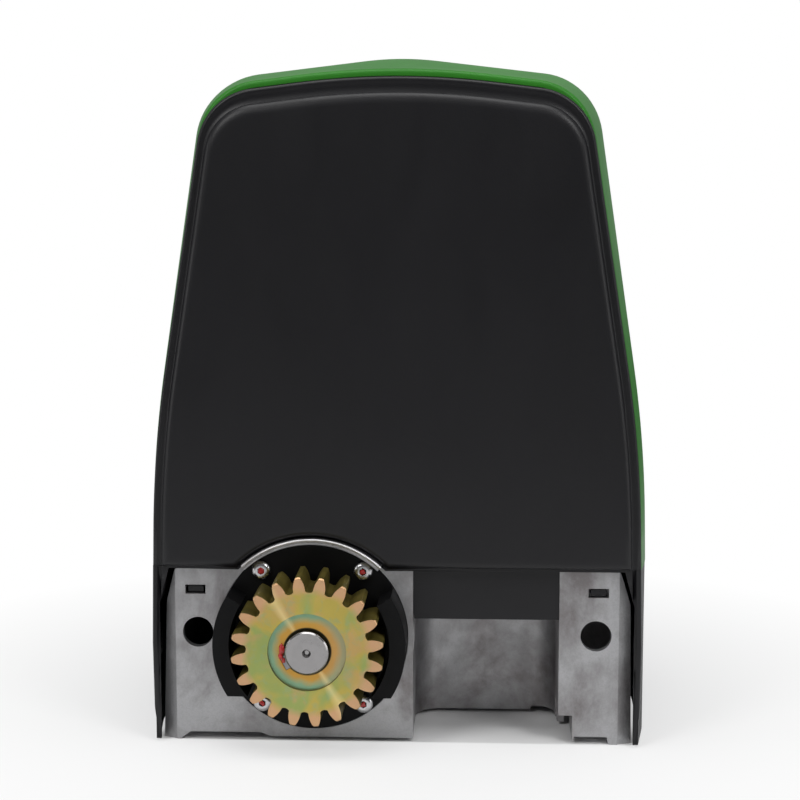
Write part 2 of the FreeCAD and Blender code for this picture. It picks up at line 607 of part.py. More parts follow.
def output_shaft():
    """Stepped shaft with a centre hole, a keyway and the slot of the clutch pin."""
    end = PINION_END_Y - SHAFT_PROUD
    hub_end = HUB_FRONT - 0.2
    profile = [
        (0, end + 2.5), (1.2, end + 2.5), (2.5, end), (SHAFT_R - 0.8, end), (SHAFT_R, end + 0.8),
        (SHAFT_R, REAR_BEARING_Y + BEARING_W), (17, REAR_BEARING_Y + BEARING_W), (17, WHEEL_Y0 - 1),
        (WHEEL_BORE_R - 2 - RUN, WHEEL_Y0 - 1), (WHEEL_BORE_R - 2 - RUN, hub_end), (CLUTCH_SHAFT_R, hub_end),
        (CLUTCH_SHAFT_R, FRONT_BEARING_Y), (NOSE_R, FRONT_BEARING_Y), (NOSE_R, SHAFT_END_Y),
        (ROD_R + RUN, SHAFT_END_Y), (ROD_R + RUN, PIN_Y - 6), (0, PIN_Y - 6),
    ]
    wire = Part.makePolygon([V(SHAFT_X + r, y, SHAFT_Z) for r, y in profile + profile[:1]])
    shaft = Part.Face(wire).revolve(V(SHAFT_X, 0, SHAFT_Z), V(0, 1, 0), 360)
    y0, y1 = key_ends()
    shaft = shaft.cut(key_block(0.02, y0, y1))
    half = PIN_R + RUN
    slot = box(SHAFT_X - 20, SHAFT_X + 20, PIN_Y - half, PIN_Y + CLUTCH_TRAVEL + half + 0.5,
               SHAFT_Z - half, SHAFT_Z + half)
    return shaft.cut(slot)


def dog_block(y0, y1, r_in, r_out, half_angle, at):
    """One face tooth of the clutch, as a sector of a ring."""
    a0 = math.radians(at - half_angle)
    a1 = math.radians(at + half_angle)
    mid = math.radians(at)

    def spot(r, a):
        return V(SHAFT_X + r * math.cos(a), y0, SHAFT_Z + r * math.sin(a))

    edges = [
        Part.Arc(spot(r_out, a0), spot(r_out, mid), spot(r_out, a1)).toShape(),
        Part.LineSegment(spot(r_out, a1), spot(r_in, a1)).toShape(),
        Part.Arc(spot(r_in, a1), spot(r_in, mid), spot(r_in, a0)).toShape(),
        Part.LineSegment(spot(r_in, a0), spot(r_out, a0)).toShape(),
    ]
    return Part.Face(Part.Wire(edges)).extrude(V(0, y1 - y0, 0))


def worm_wheel():
    """Bronze wheel with slanted teeth, a hub and the driven half of the dog clutch."""
    twist = -math.degrees(WORM_LEAD / (2 * math.pi * WORM_PITCH_R) * WHEEL_WIDTH / 2
                          / (WORM_MODULE * WHEEL_TEETH / 2))
    pitch = 360.0 / WHEEL_TEETH
    y1 = WHEEL_Y0 + WHEEL_WIDTH
    back = gear_wire(WHEEL_TEETH, WORM_MODULE, pitch / 2 - twist, BACKLASH / 2, WHEEL_Y0)
    front = gear_wire(WHEEL_TEETH, WORM_MODULE, pitch / 2 + twist, BACKLASH / 2, y1)
    rim = Part.makeLoft([back, front], True, True)
    web = WHEEL_WIDTH * 0.3
    for y in (WHEEL_Y0 - 1, y1 - web + 1):
        rim = rim.cut(tube_y(36, HUB_R, SHAFT_X, SHAFT_Z, y, y + web))
    body = rim.fuse(cyl_y(HUB_R, SHAFT_X, SHAFT_Z, y1 - 1, HUB_FRONT))
    body = body.cut(cyl_y(WHEEL_BORE_R, SHAFT_X, SHAFT_Z, WHEEL_Y0 - 1, HUB_FRONT + 1))
    floor_y = HUB_FRONT - DOG_DEPTH - 0.4
    for k in range(DOGS):
        at = k * 360.0 / DOGS
        body = body.cut(dog_block(floor_y, HUB_FRONT + 1, WHEEL_BORE_R - 1, CLUTCH_R + GAP, 15.8, at))
    return body


def clutch_sleeve():
    """Sliding half of the dog clutch, carried round by its cross pin."""
    y0 = SLEEVE_Y + GAP
    body = cyl_y(CLUTCH_R, SHAFT_X, SHAFT_Z, y0, y0 + SLEEVE_LENGTH)
    dogs = [dog_block(y0 - DOG_DEPTH, y0 + 1, WHEEL_BORE_R + 0.5, CLUTCH_R, 15.0, k * 360.0 / DOGS)
            for k in range(DOGS)]
    body = fuse([body] + dogs)
    groove = tube_y(CLUTCH_R + 1, CLUTCH_R - 2.5, SHAFT_X, SHAFT_Z, y0 + 6.5, y0 + 9)
    body = body.cut(cyl_y(CLUTCH_SHAFT_R + RUN, SHAFT_X, SHAFT_Z, y0 - 5, y0 + SLEEVE_LENGTH + 1)).cut(groove)
    return body.cut(cyl_x(PIN_R, PIN_Y, SHAFT_Z, SHAFT_X - 30, SHAFT_X + 30))


def clutch_cross_pin():
    return cyl_x(PIN_R, PIN_Y, SHAFT_Z, SHAFT_X - CLUTCH_R + 3, SHAFT_X + CLUTCH_R - 3)


def release_rod():
    """Push rod inside the shaft, holed for the cross pin."""
    rod = cyl_y(ROD_R, SHAFT_X, SHAFT_Z, PIN_Y - 5.5, ROD_END)
    return rod.cut(cyl_x(PIN_R, PIN_Y, SHAFT_Z, SHAFT_X - 30, SHAFT_X + 30))


def release_thumbwheel():
    """Scalloped hand wheel that caps the cover's boss and bears on the push rod."""
    y1 = THUMB_Y + THUMB_LENGTH
    body = cyl_y(THUMB_R, SHAFT_X, SHAFT_Z, THUMB_Y, y1)
    edge = [e for e in body.Edges if e.Closed and abs(e.CenterOfMass.y - y1) < 0.01]
    body = body.makeChamfer(1.5, edge)
    body = body.cut(cyl_y(BOSS_R + RUN, SHAFT_X, SHAFT_Z, THUMB_Y - 1, y1 - 6 + GAP))
    stud_r = BOSS_R - WALL - RUN
    body = body.fuse(cyl_y(stud_r, SHAFT_X, SHAFT_Z, ROD_END + CLUTCH_TRAVEL + GAP, y1 - 4))
    scallop = cyl_y(4, SHAFT_X + THUMB_R + 1.6, SHAFT_Z, THUMB_Y - 1, y1 + 1)
    scallops = [turned(scallop, a) for a in range(0, 360, 30)]
    body = body.cut(scallops[0].multiFuse(scallops[1:]))
    grip = box(SHAFT_X - 16, SHAFT_X + 16, y1 - 1, y1 + 5, SHAFT_Z - 3, SHAFT_Z + 3)
    return fuse([body, grip])


def worm_shaft():
    """Worm, journals and armature spindle in one piece."""
    z_mid = SHAFT_Z
    z0 = z_mid - WORM_LEAD / 2 - (WORM_TURNS - 1) / 2 * WORM_LEAD
    height = WORM_TURNS * WORM_LEAD
    root_r = WORM_PITCH_R - 1.2 * WORM_MODULE
    tip_r = WORM_PITCH_R + WORM_MODULE
    slope = math.tan(math.radians(20))
    half = (WORM_LEAD / 2 - BACKLASH) / 2
    helix = Part.makeHelix(WORM_LEAD, height, WORM_PITCH_R)
    inner = root_r - 0.6
    profile = Part.makePolygon([
        V(inner, 0, -half - (WORM_PITCH_R - inner) * slope), V(tip_r, 0, -half + WORM_MODULE * slope),
        V(tip_r, 0, half - WORM_MODULE * slope), V(inner, 0, half + (WORM_PITCH_R - inner) * slope),
        V(inner, 0, -half - (WORM_PITCH_R - inner) * slope)])
    thread = Part.Wire(helix.Edges).makePipeShell([profile], True, True)
    thread.translate(V(WORM_X, DRIVE_Y, z0))
    run_out = 8.0
    core = cyl_z(root_r, WORM_X, DRIVE_Y, z0 - run_out, z0 + height + run_out)
    body = core.fuse(thread)
    low = LOWER_BEARING_Z + 0.5
    spindle = cyl_z(WORM_SHAFT_R, WORM_X, DRIVE_Y, low, CAP_Z1 + 6)
    collar = cyl_z(WORM_SHAFT_R + 3, WORM_X, DRIVE_Y, LOWER_BEARING_Z + 8.2, UPPER_BEARING_Z - 0.2)
    return body.fuse(spindle.fuse(collar))


# ---------------------------------------------------------------------- motor
ARM_Z0 = CAN_Z0 + 16.0
ARM_Z1 = ARM_Z0 + ARMATURE_LENGTH
COMM_Z0 = ARM_Z1 + 12.0
COMM_Z1 = COMM_Z0 + 18.0


def motor_flange():
    """Adapter plate between the gear block and the motor can."""
    plate = cyl_z(MOTOR_R + 4, WORM_X, DRIVE_Y, MOTOR_FOOT_Z, CAN_Z0)
    spigot = cyl_z(MOTOR_R - MOTOR_CAN_WALL - FIT, WORM_X, DRIVE_Y, CAN_Z0, CAN_Z0 + 4)
    body = plate.fuse(spigot)
    return body.cut(cyl_z(WORM_SHAFT_R + 2, WORM_X, DRIVE_Y, MOTOR_FOOT_Z - 1, CAN_Z0 + 5))


def motor_can():
    return tube_z(MOTOR_R, MOTOR_R - MOTOR_CAN_WALL, WORM_X, DRIVE_Y, CAN_Z0, CAN_Z1)


def motor_magnets():
    """Two arc magnets against the can."""
    outer = MOTOR_R - MOTOR_CAN_WALL - 0.1
    ring = tube_z(outer, outer - MAGNET, WORM_X, DRIVE_Y, ARM_Z0 - 4, ARM_Z1 + 4)
    gap = 9.0
    slit = box(WORM_X - gap, WORM_X + gap, DRIVE_Y - 60, DRIVE_Y + 60, ARM_Z0 - 10, ARM_Z1 + 10)
    return ring.cut(slit)


def armature_core():
    """Slotted lamination stack."""
    stack = tube_z(ARMATURE_R, WORM_SHAFT_R, WORM_X, DRIVE_Y, ARM_Z0, ARM_Z1)
    slots = []
    for k in range(ARMATURE_SLOTS):
        slot = box(WORM_X + 14, WORM_X + 40, DRIVE_Y - 2.2, DRIVE_Y + 2.2, ARM_Z0 - 1, ARM_Z1 + 1)
        slot.rotate(V(WORM_X, DRIVE_Y, 0), V(0, 0, 1), k * 360.0 / ARMATURE_SLOTS)
        slots.append(slot)
    return stack.cut(slots[0].multiFuse(slots[1:]))


def armature_windings():
    """Copper heads above and below the stack."""
    heads = []
    for z0, z1, free_z in ((ARM_Z0 - 9, ARM_Z0, ARM_Z0 - 9), (ARM_Z1, ARM_Z1 + 9, ARM_Z1 + 9)):
        head = tube_z(ARMATURE_R - 2, WORM_SHAFT_R + 4, WORM_X, DRIVE_Y, z0, z1)
        outer = [e for e in head.Edges if e.Closed and abs(e.Curve.Radius - ARMATURE_R + 2) < 0.01
                 and abs(e.CenterOfMass.z - free_z) < 0.01]
        heads.append(head.makeChamfer(3.0, outer))
    return Part.makeCompound(heads)


def commutator():
    body = tube_z(COMMUTATOR_R, WORM_SHAFT_R, WORM_X, DRIVE_Y, COMM_Z0, COMM_Z1)
    return body.fuse(tube_z(COMMUTATOR_R + 3, WORM_SHAFT_R, WORM_X, DRIVE_Y, COMM_Z0 - 3, COMM_Z0))


def motor_brushes():
    """Two brushes in their holders, on either side of the commutator."""
    z0 = COMM_Z0 + 4
    solids = []
    for side in (-1, 1):
        near = COMMUTATOR_R + 0.05
        far = MOTOR_R - MOTOR_CAN_WALL - GAP
        carbon = box(WORM_X + near, WORM_X + far, DRIVE_Y - 4, DRIVE_Y + 4, z0, z0 + 10)
        if side < 0:
            carbon = carbon.mirror(V(WORM_X, 0, 0), V(1, 0, 0))
        solids.append(carbon)
    return Part.makeCompound(solids)


def motor_end_cap():
    """Domed cap with the upper spindle hole."""
    cap = cyl_z(MOTOR_R, WORM_X, DRIVE_Y, CAN_Z1, CAP_Z1)
    rim = [e for e in cap.Edges if e.Closed and abs(e.CenterOfMass.z - CAP_Z1) < 0.01]
    cap = cap.makeChamfer(4.0, rim)
    cap = cap.fuse(cyl_z(MOTOR_R - MOTOR_CAN_WALL - FIT, WORM_X, DRIVE_Y, CAN_Z1 - 4, CAN_Z1))
    cap = cap.cut(cyl_z(MOTOR_R - 9, WORM_X, DRIVE_Y, CAN_Z1 - 5, CAN_Z1 + 5))
    return cap.cut(cyl_z(WORM_SHAFT_R + RUN, WORM_X, DRIVE_Y, CAN_Z1 - 5, CAP_Z1 + 1))


def encoder_disc():
    return tube_z(13, WORM_SHAFT_R, WORM_X, DRIVE_Y, CAP_Z1 + 3, CAP_Z1 + 5)


def encoder_board():
    """Small sensor board on a post beside the disc."""
    x = WORM_X + 20
    post = box(x, x + 10, DRIVE_Y - 8, DRIVE_Y + 8, CAP_Z1, CAP_Z1 + 6.5)
    board = box(x - 12, x + 10, DRIVE_Y - 8, DRIVE_Y + 8, CAP_Z1 + 6.5, CAP_Z1 + 8)
    return fuse([post, board])


# -------------------------------------------------------------------- chassis
def chassis_tray():
    """Moulded battery deck on a skirt that stands on the cast base."""
    top = TRAY_Z + TRAY
    corner_r = 10.0
    deck = pocket(-TRAY_W, TRAY_W, TRAY_Y0, TRAY_Y1, TRAY_Z, top, corner_r)
    lip = pocket(-TRAY_W, TRAY_W, TRAY_Y0, TRAY_Y1, TRAY_Z, top + 8, corner_r)
    inside = pocket(-TRAY_W + TRAY, TRAY_W - TRAY, TRAY_Y0 + TRAY, TRAY_Y1 - TRAY, TRAY_Z, top + 9,
                    corner_r - TRAY)
    solids = [deck, lip.cut(inside)]
    for side in (-1, 1):
        ends = sorted((side * (BATTERY_X - FIT), side * (BATTERY_X - FIT - 2)))
        solids.append(box(*ends, BATTERY_Y0 - 2, BATTERY_Y0 + 40, TRAY_Z, top + 14))
        for x, y in tower_places():
            if x * side > 0:
                solids.append(box(x - 6, x + 6, y - 9, y + 9, DECK_Z, TRAY_Z + 1))
    body = fuse(solids)
    for x, y in tower_places():
        body = body.cut(cyl_z(2.0 + RUN, x, y, DECK_Z - 1, top + 1))
        body = body.cut(cyl_z(3.6, x, y, TRAY_Z + 1, top + 1))
    body = body.cut(cyl_z(MOTOR_R + 6, WORM_X, DRIVE_Y, TRAY_Z - 1, top + 1))
    return body.cut(box(CABLE[0], CABLE[1] - 4, BATTERY_Y0 + BATTERY_L + 4, TRAY_Y1 - 6, TRAY_Z - 1, top + 1))


def battery(side):
    """Sealed lead-acid block with a lid seam and two tab terminals."""
    x0 = BATTERY_X
    x1 = x0 + BATTERY_W
    z0 = TRAY_Z + TRAY
    y1 = BATTERY_Y0 + BATTERY_L
    seam = z0 + BATTERY_H - 3
    inset = 1.5
    case = pocket(x0, x1, BATTERY_Y0, y1, z0, seam, 3.0)
    lid = pocket(x0 + inset, x1 - inset, BATTERY_Y0 + inset, y1 - inset, seam, z0 + BATTERY_H, 3.0)
    tabs = [box(x, x + 4.8, BATTERY_Y0 + 12, BATTERY_Y0 + 12.8, z0 + BATTERY_H, z0 + BATTERY_H + 6)
            for x in (x0 + 12, x1 - 17)]
    body = fuse([case, lid] + tabs)
    return mirrored(body) if side < 0 else body


def controller_bracket():
    """Bent bracket that stands on the deck and carries the controller above the motor."""
    z0 = TRAY_Z + TRAY
    top = SHELF_Z + BRACKET
    reach = 22.0
    places = (BRACKET_X0, BRACKET_X1 - BRACKET)
    legs = [box(x, x + BRACKET, BRACKET_Y0, BRACKET_Y1, z0, top) for x in places]
    shelf = pocket(-SHELF_X, SHELF_X, BOARD_Y0 - 6, BOARD_Y1 + 6, SHELF_Z, top, 8.0)
    window = pocket(WORM_X - reach, WORM_X + reach, DRIVE_Y - reach, DRIVE_Y + reach,
                    SHELF_Z - 1, top + 1, 6.0)
    body = fuse(legs + [shelf]).cut(window)
    for z in (z0 + 30, z0 + 70, z0 + 110):
        body = body.cut(box(BRACKET_X0 - 1, BRACKET_X1 + 1, BRACKET_Y0 + 20, BRACKET_Y1 - 20, z, z + 24))
    return body


BOARD_Z = SHELF_Z + BRACKET + STANDOFF


def board_corners():
    return [(i * (BOARD_X - 6), y) for i in (-1, 1) for y in (BOARD_Y0 + 6, BOARD_Y1 - 6)]


def board_standoffs():
    return Part.makeCompound([cyl_z(3.5, x, y, SHELF_Z + BRACKET, BOARD_Z) for x, y in board_corners()])


def button_places():
    return [(14.0 + i * BUTTON_PITCH, BOARD_Y1 - 20.0) for i in range(4)]


def control_board():
    """Circuit board with switch bodies and a row of chips."""
    board = box(-BOARD_X, BOARD_X, BOARD_Y0, BOARD_Y1, BOARD_Z, BOARD_Z + BOARD)
    top = BOARD_Z + BOARD
    parts = [board]
    for x, y in button_places():
        body = box(x - 3, x + 3, y - 3, y + 3, top - 0.5, top + 4)
        parts.append(body.cut(cyl_z(1.75 + FIT, x, y, top + 1, top + 5)))
    parts.append(box(-20, -6, -8, 6, top - 0.5, top + 2))
    parts.append(box(4, 24, -4, 4, top - 0.5, top + 2.4))
    parts.append(box(-66, -44, -34, -14, top - 0.5, top + 12))
    return fuse(parts)


def board_button(place):
    x, y = place
    z0 = BOARD_Z + BOARD + 1 + BUTTON_TRAVEL + 0.1
    stem = cyl_z(1.75, x, y, z0, z0 + 5)
    return stem.fuse(cyl_z(2.6, x, y, z0 + 4, z0 + 6.5))


def lcd_module():
    """Display in its frame on the board."""
    z0 = BOARD_Z + BOARD
    x0 = -60.0
    y0 = BOARD_Y1 - 34
    frame = box(x0, x0 + 62, y0, y0 + 28, z0, z0 + 8)
    return frame.cut(box(x0 + 5, x0 + 57, y0 + 5, y0 + 23, z0 + 7, z0 + 9))


def terminal_blocks():
    """Two rows of screw terminals along the board's edges."""
    z0 = BOARD_Z + BOARD
    rows = []
    pitch = 5.08
    ways = 12
    for x0 in (-76.0, 12.0):
        block = box(x0, x0 + ways * pitch, BOARD_Y0 + 2, BOARD_Y0 + 11, z0, z0 + 10)
        for k in range(ways):
            x = x0 + (k + 0.5) * pitch
            block = block.cut(box(x - 1.6, x + 1.6, BOARD_Y0 + 1, BOARD_Y0 + 5, z0 + 2, z0 + 6))
        rows.append(block)
    return Part.makeCompound(rows)


def relays():
    z0 = BOARD_Z + BOARD
    return Part.makeCompound([box(x, x + 17, -28, -8, z0, z0 + 16) for x in (28.0, 50.0)])


def charger_module():
    """Charger in a finned case, fixed to the bracket's leg."""
    x0 = BRACKET_X0 + BRACKET
    z0 = TRAY_Z + TRAY + 2
    body = box(x0, x0 + 23, BRACKET_Y0 + 2, BRACKET_Y1 - 2, z0, z0 + 88)
    for k in range(9):
        z = z0 + 6 + k * 9
        body = body.cut(box(x0 + 19, x0 + 24, BRACKET_Y0, BRACKET_Y1, z, z + 4.5))
    return body


# --------------------------------------------------------------------- casing
def case_corner(grow, top, slope):
    return (KNEE_X + grow - LEAN * (top - KNEE_Z)) / (1 - LEAN * slope)


def hood_points(grow, top, slope, corner_r, low):
    """Corners of the hood's outline at one plane, right side first."""
    x = case_corner(grow, top, slope)
    z = top - slope * x
    right = [(CASE_W + grow, low, 0), (KNEE_X + grow, KNEE_Z, KNEE_R), (x, z, corner_r)]
    left = [(-px, pz, r) for px, pz, r in reversed(right)]
    return right + [(0, top, APEX_R)] + left


def hood_station(y, inset, low):
    """The cover's outline in the plane y, drawn in by inset."""
    top0 = CASE_TOP + COVER_STEP
    nose_y = FRONT_Y - NOSE_LENGTH
    run = y - HOOD_EDGE_Y
    climb = max(0.0, min(1.0, run / (CREST_Y - HOOD_EDGE_Y)))
    grow = BELLY * math.tanh(FLARE_SLOPE * run / BELLY)
    past = max(0.0, min(1.0, (y - (FRONT_Y - FRONT_R)) / FRONT_R))
    grow -= FRONT_R * (1 - math.sqrt(1 - past * past))
    top = top0 + COVER_RISE * math.sin(math.pi / 2 * climb ** 1.25)
    into = max(0.0, min(1.0, (y - nose_y) / NOSE_LENGTH))
    top -= NOSE_DROP * (1 - math.sqrt(1 - into * into))
    slope = ROOF_SLOPE + (CREST_SLOPE - ROOF_SLOPE) * climb
    corner_r = CORNER_R + 2 + 9 * climb
    shift = inset * (1 - math.sqrt(1 - into * into))
    points = hood_points(grow - inset, top - inset, slope, corner_r - inset, low)
    return rounded_loop(points, on_xz(y - shift))


def hood_sections(inset, low, step):
    """Outlines of the cover from the rim to the front; step is the nose's turn in degrees."""
    nose_y = FRONT_Y - NOSE_LENGTH
    plain = [HOOD_EDGE_Y, LIP_Y, -76.0, -65.0, -52.0, -38.0, -22.0, -8.0, CREST_Y, nose_y]
    nose = [nose_y + NOSE_LENGTH * math.sin(math.radians(a)) for a in range(step, 91, step)]
    return [hood_station(y, inset, low) for y in plain + nose]


def top_cover():
    """Lift-off hood: flared sides, shallow roof ridge and a rounded front.

    Its rear edge is thicker along the top, down to the rear casing's rim.
    """
    below = SPLIT_Z - 5
    outer = Part.makeLoft(hood_sections(0.0, below, 9), True, True)
    inner = Part.makeLoft(hood_sections(CASE_WALL, below - 5, 15)[1:], True, True)
    lip = hood_points(-CASE_WALL, CASE_TOP - 1.5, ROOF_SLOPE, CORNER_R - CASE_WALL, below - 5)
    mouth = prism(lip, on_xz(HOOD_EDGE_Y - 5), V(0, LIP_Y - HOOD_EDGE_Y + 5.1, 0))
    shell = outer.cut(inner.fuse(mouth))
    return shell.cut(box(-200, 200, RIM_Y - 20, FRONT_Y + 20, below - 20, SPLIT_Z))


def skirt_plan(inset):
    """Plan of the lower casing, drawn in by inset, open on the gate's side."""
    rear_y = HOOD_EDGE_Y - 10 * (inset > 0)
    widest = CASE_W + BELLY - inset
    right = [(CASE_W - inset, rear_y, 0), (CASE_W + FLARE - inset, FLARE_Y, 120),
             (widest, 0, 400), (widest, FRONT_Y - inset, FRONT_R - inset)]
    left = [(-x, y, r) for x, y, r in reversed(right)]
    return right + left


def front_casing():
    """Lower casing round the front and sides, with the hatch opening and inner tabs."""
    top = SPLIT_Z - GAP
    low = 1.0
    outer = prism(skirt_plan(0), on_xy(low), V(0, 0, top - low))
    inner = prism(skirt_plan(FRONT_WALL), on_xy(low - 1), V(0, 0, top - low + 2))
    body = outer.cut(inner)
    tabs = []
    wide = CASE_W + FLARE
    for side in (-1, 1):
        for y in (-22.0, 22.0):
            for reach, z1 in ((wide - CASE_WALL - 1, DECK_Z + 3), (wide - 1.5, top)):
                ends = sorted((side * (BASE_W - 13), side * reach))
                tabs.append(box(*ends, y - 8, y + 8, DECK_Z, z1))
    body = fuse([body] + tabs)
    x0 = HATCH_X0 - 2 * GAP
    x1 = HATCH_X1 + 2 * GAP
    body = body.cut(box(x0, x1, FRONT_Y - 20, FRONT_Y + 5, HATCH_Z0 - 2 * GAP, HATCH_AXIS_Z + 2.1))
    ears = []
    for x in (x0 - 4.4, x1):
        ears.append(box(x, x + 4.4, FRONT_Y - 8, FRONT_Y - FRONT_WALL + 1,
                        HATCH_AXIS_Z - 6, HATCH_AXIS_Z + 4))
    body = fuse([body] + ears)
    axis_y = FRONT_Y - FRONT_WALL / 2
    body = body.cut(cyl_x(1.0, axis_y, HATCH_AXIS_Z, HATCH_X0 - 4, HATCH_X1 + 4))
    for x, y in casing_screw_places():
        body = body.cut(cyl_z(2.3, x, y, DECK_Z - 1, DECK_Z + 5))
    return body


def casing_screw_places():
    return [(side * (BASE_W - 9.5), y) for side in (-1, 1) for y in (-22.0, 22.0)]


def rear_outline(inset, top_inset, low):
    """Outline of the rear casing with its two legs, drawn in by inset."""
    top = CASE_TOP - top_inset
    points = hood_points(-inset, top, ROOF_SLOPE, CORNER_R - min(inset, 6), SPLIT_Z)
    wide = CASE_W - inset
    legs_right = [(wide - 2.5, low, 0), (wide + 0.4, 22, 0), (wide + 0.9, 60, 0)]
    legs_left = [(-x, z, r) for x, z, r in reversed(legs_right)]
    return legs_right + points + legs_left


def rear_casing():
    """Moulded back: rim, cove, raised panel, inner skirt, apron and two tabs."""
    rim = prism(rear_outline(0, 0, 2.0), on_xz(RIM_Y), V(0, RIM, 0))
    edge = [e for e in rim.Edges if abs(e.CenterOfMass.y - RIM_Y) < 0.01 and e.CenterOfMass.z > 150]
    rim = rim.makeFillet(1.2, edge)
    cove = prism(rear_outline(3.0, 4.0, SPLIT_Z + 4), on_xz(RIM_Y - 1), V(0, 2.2, 0))
    rim = rim.cut(cove)
    panel = prism(panel_outline(0), on_xz(RIM_Y - PANEL_PROUD), V(0, PANEL_PROUD + 2, 0))
    ring = [e for e in panel.Edges if abs(e.CenterOfMass.y - RIM_Y + PANEL_PROUD) < 0.01]
    panel = panel.makeFillet(2.5, ring)
    body = fuse([rim, panel])
    skirt_y1 = RIM_Y + 22
    skirt = prism(rear_outline(4.2, 6, 2.0), on_xz(RIM_Y + RIM - 1), V(0, skirt_y1 - RIM_Y - RIM, 0))
    skirt = skirt.cut(prism(rear_outline(6.7, 8.5, 1.0), on_xz(RIM_Y - 1), V(0, 40, 0)))
    body = body.fuse(skirt)
    back_y = RIM_Y - PANEL_PROUD + CASE_WALL
    body = body.cut(prism(panel_outline(3.0), on_xz(back_y), V(0, PANEL_PROUD + 2, 0)))
    half = BASE_W + GAP
    lintel = SPLIT_Z - 0.5
    opening = [(-half, -5, 0), (half, -5, 0), (half, 84, 0), (half - 6, lintel, 0), (-half + 6, lintel, 0),
               (-half, 84, 0)]
    body = body.cut(prism(opening, on_xz(RIM_Y - 20), V(0, 80, 0)))
    arch = cyl_y(ARCH_R, SHAFT_X, SHAFT_Z, RIM_Y - 20, RIM_Y + 40)
    body = body.cut(arch)
    apron_y = PLATE_Y + 1.0
    x0 = BAY_X0 + FIT
    x1 = BAY_X1 - FIT
    bottom = SPLIT_Z + GAP
    top = SPLIT_Z + CASE_WALL
    apron = box(x0, x1, apron_y, apron_y + APRON, APRON_BOTTOM, top)
    hang = box(x0, x1, RIM_Y + 1, apron_y + APRON, bottom, top)
    body = fuse([body, apron.cut(arch), hang])
    tabs = []
    half_w = SLOT_W / 2 - 1.5
    half_h = SLOT_H / 2 - 1.0
    y1 = PLATE_Y + WALL + 6
    for side in (-1, 1):
        x0 = side * SLOT_X - half_w
        x1 = side * SLOT_X + half_w
        tabs.append(box(x0, x1, PLATE_Y + 2, y1, SLOT_Z - half_h, SLOT_Z + half_h))
        tabs.append(box(x0, x1, y1 - CASE_WALL, y1, SLOT_Z - half_h, top))
        tabs.append(box(x0, x1, RIM_Y + 1, y1, bottom, top))
    return fuse([body] + tabs)


def panel_outline(inset):
    """Outline of the raised panel, closed along the casing's lower lip."""
    top = CASE_TOP - PANEL_TOP - inset
    return hood_points(-PANEL_SIDE - inset, top, ROOF_SLOPE, CORNER_R - 4, SPLIT_Z + 2 + inset)


# ---------------------------------------------------------------------- hatch
def release_hatch():
    """Top-hung hatch over the hand wheel, with the bore of its lock."""
    axis_y = FRONT_Y - FRONT_WALL / 2
    x0 = HATCH_X0
    x1 = HATCH_X1
    panel = prism([(x0, HATCH_Z0, 6), (x1, HATCH_Z0, 6), (x1, HATCH_AXIS_Z, 0), (x0, HATCH_AXIS_Z, 0)],
                  on_xz(FRONT_Y - FRONT_WALL), V(0, FRONT_WALL, 0))
    barrel = cyl_x(FRONT_WALL / 2, axis_y, HATCH_AXIS_Z, x0, x1)
    mid_x = (x0 + x1) / 2
    boss = cyl_y(LOCK_R + 3, mid_x, LOCK_Z, FRONT_Y - FRONT_WALL - 8, FRONT_Y - 1)
    ribs = [box(x, x + 2, FRONT_Y - FRONT_WALL - 3, FRONT_Y - 1, HATCH_Z0 + 12, HATCH_AXIS_Z - 12)
            for x in (x0 + 12, x1 - 14)]
    body = fuse([panel, barrel, boss] + ribs)
    body = body.cut(cyl_y(LOCK_R + RUN, mid_x, LOCK_Z, FRONT_Y - 30, FRONT_Y + 1))
    body = body.cut(cyl_x(1.0 + RUN, axis_y, HATCH_AXIS_Z, x0 - 1, x1 + 1))
    return body.cut(cyl_y(1.5, mid_x, LOCK_Z + 16, FRONT_Y - 30, FRONT_Y + 1))


def hatch_hinge_pins():
    axis_y = FRONT_Y - FRONT_WALL / 2
    return cyl_x(1.0, axis_y, HATCH_AXIS_Z, HATCH_X0 - 4, HATCH_X1 + 4)


def camlock():
    """Lock barrel with a key slit and its cam tongue."""
    mid_x = (HATCH_X0 + HATCH_X1) / 2
    back = FRONT_Y - FRONT_WALL - 9
    barrel = cyl_y(LOCK_R, mid_x, LOCK_Z, back, FRONT_Y - 0.2)
    barrel = barrel.cut(box(mid_x - 0.8, mid_x + 0.8, FRONT_Y - 8, FRONT_Y + 1, LOCK_Z - 4.5, LOCK_Z + 4.5))
    tongue = box(mid_x - 6, mid_x + TONGUE_LENGTH, back - 2.6, back, LOCK_Z - 6, LOCK_Z + 6)
    return fuse([barrel, tongue])


def camlock_cap():
    """Weather cap that swings aside from the keyhole."""
    mid_x = (HATCH_X0 + HATCH_X1) / 2
    y0 = FRONT_Y + GAP
    disc = cyl_y(LOCK_R + 2, mid_x, LOCK_Z, y0, y0 + 2.6)
    neck = box(mid_x - 4, mid_x + 4, y0, y0 + 2.6, LOCK_Z, LOCK_Z + 16)
    eye = cyl_y(4, mid_x, LOCK_Z + 16, y0, y0 + 2.6)
    body = fuse([disc, neck, eye])
    return body.cut(cyl_y(1.5 + RUN, mid_x, LOCK_Z + 16, y0 - 1, y0 + 5))


def cap_rivet():
    mid_x = (HATCH_X0 + HATCH_X1) / 2
    y0 = FRONT_Y + GAP + 2.6 + GAP
    stem = cyl_y(1.5, mid_x, LOCK_Z + 16, FRONT_Y - FRONT_WALL, y0)
    return stem.fuse(cyl_y(3, mid_x, LOCK_Z + 16, y0, y0 + 1.2))


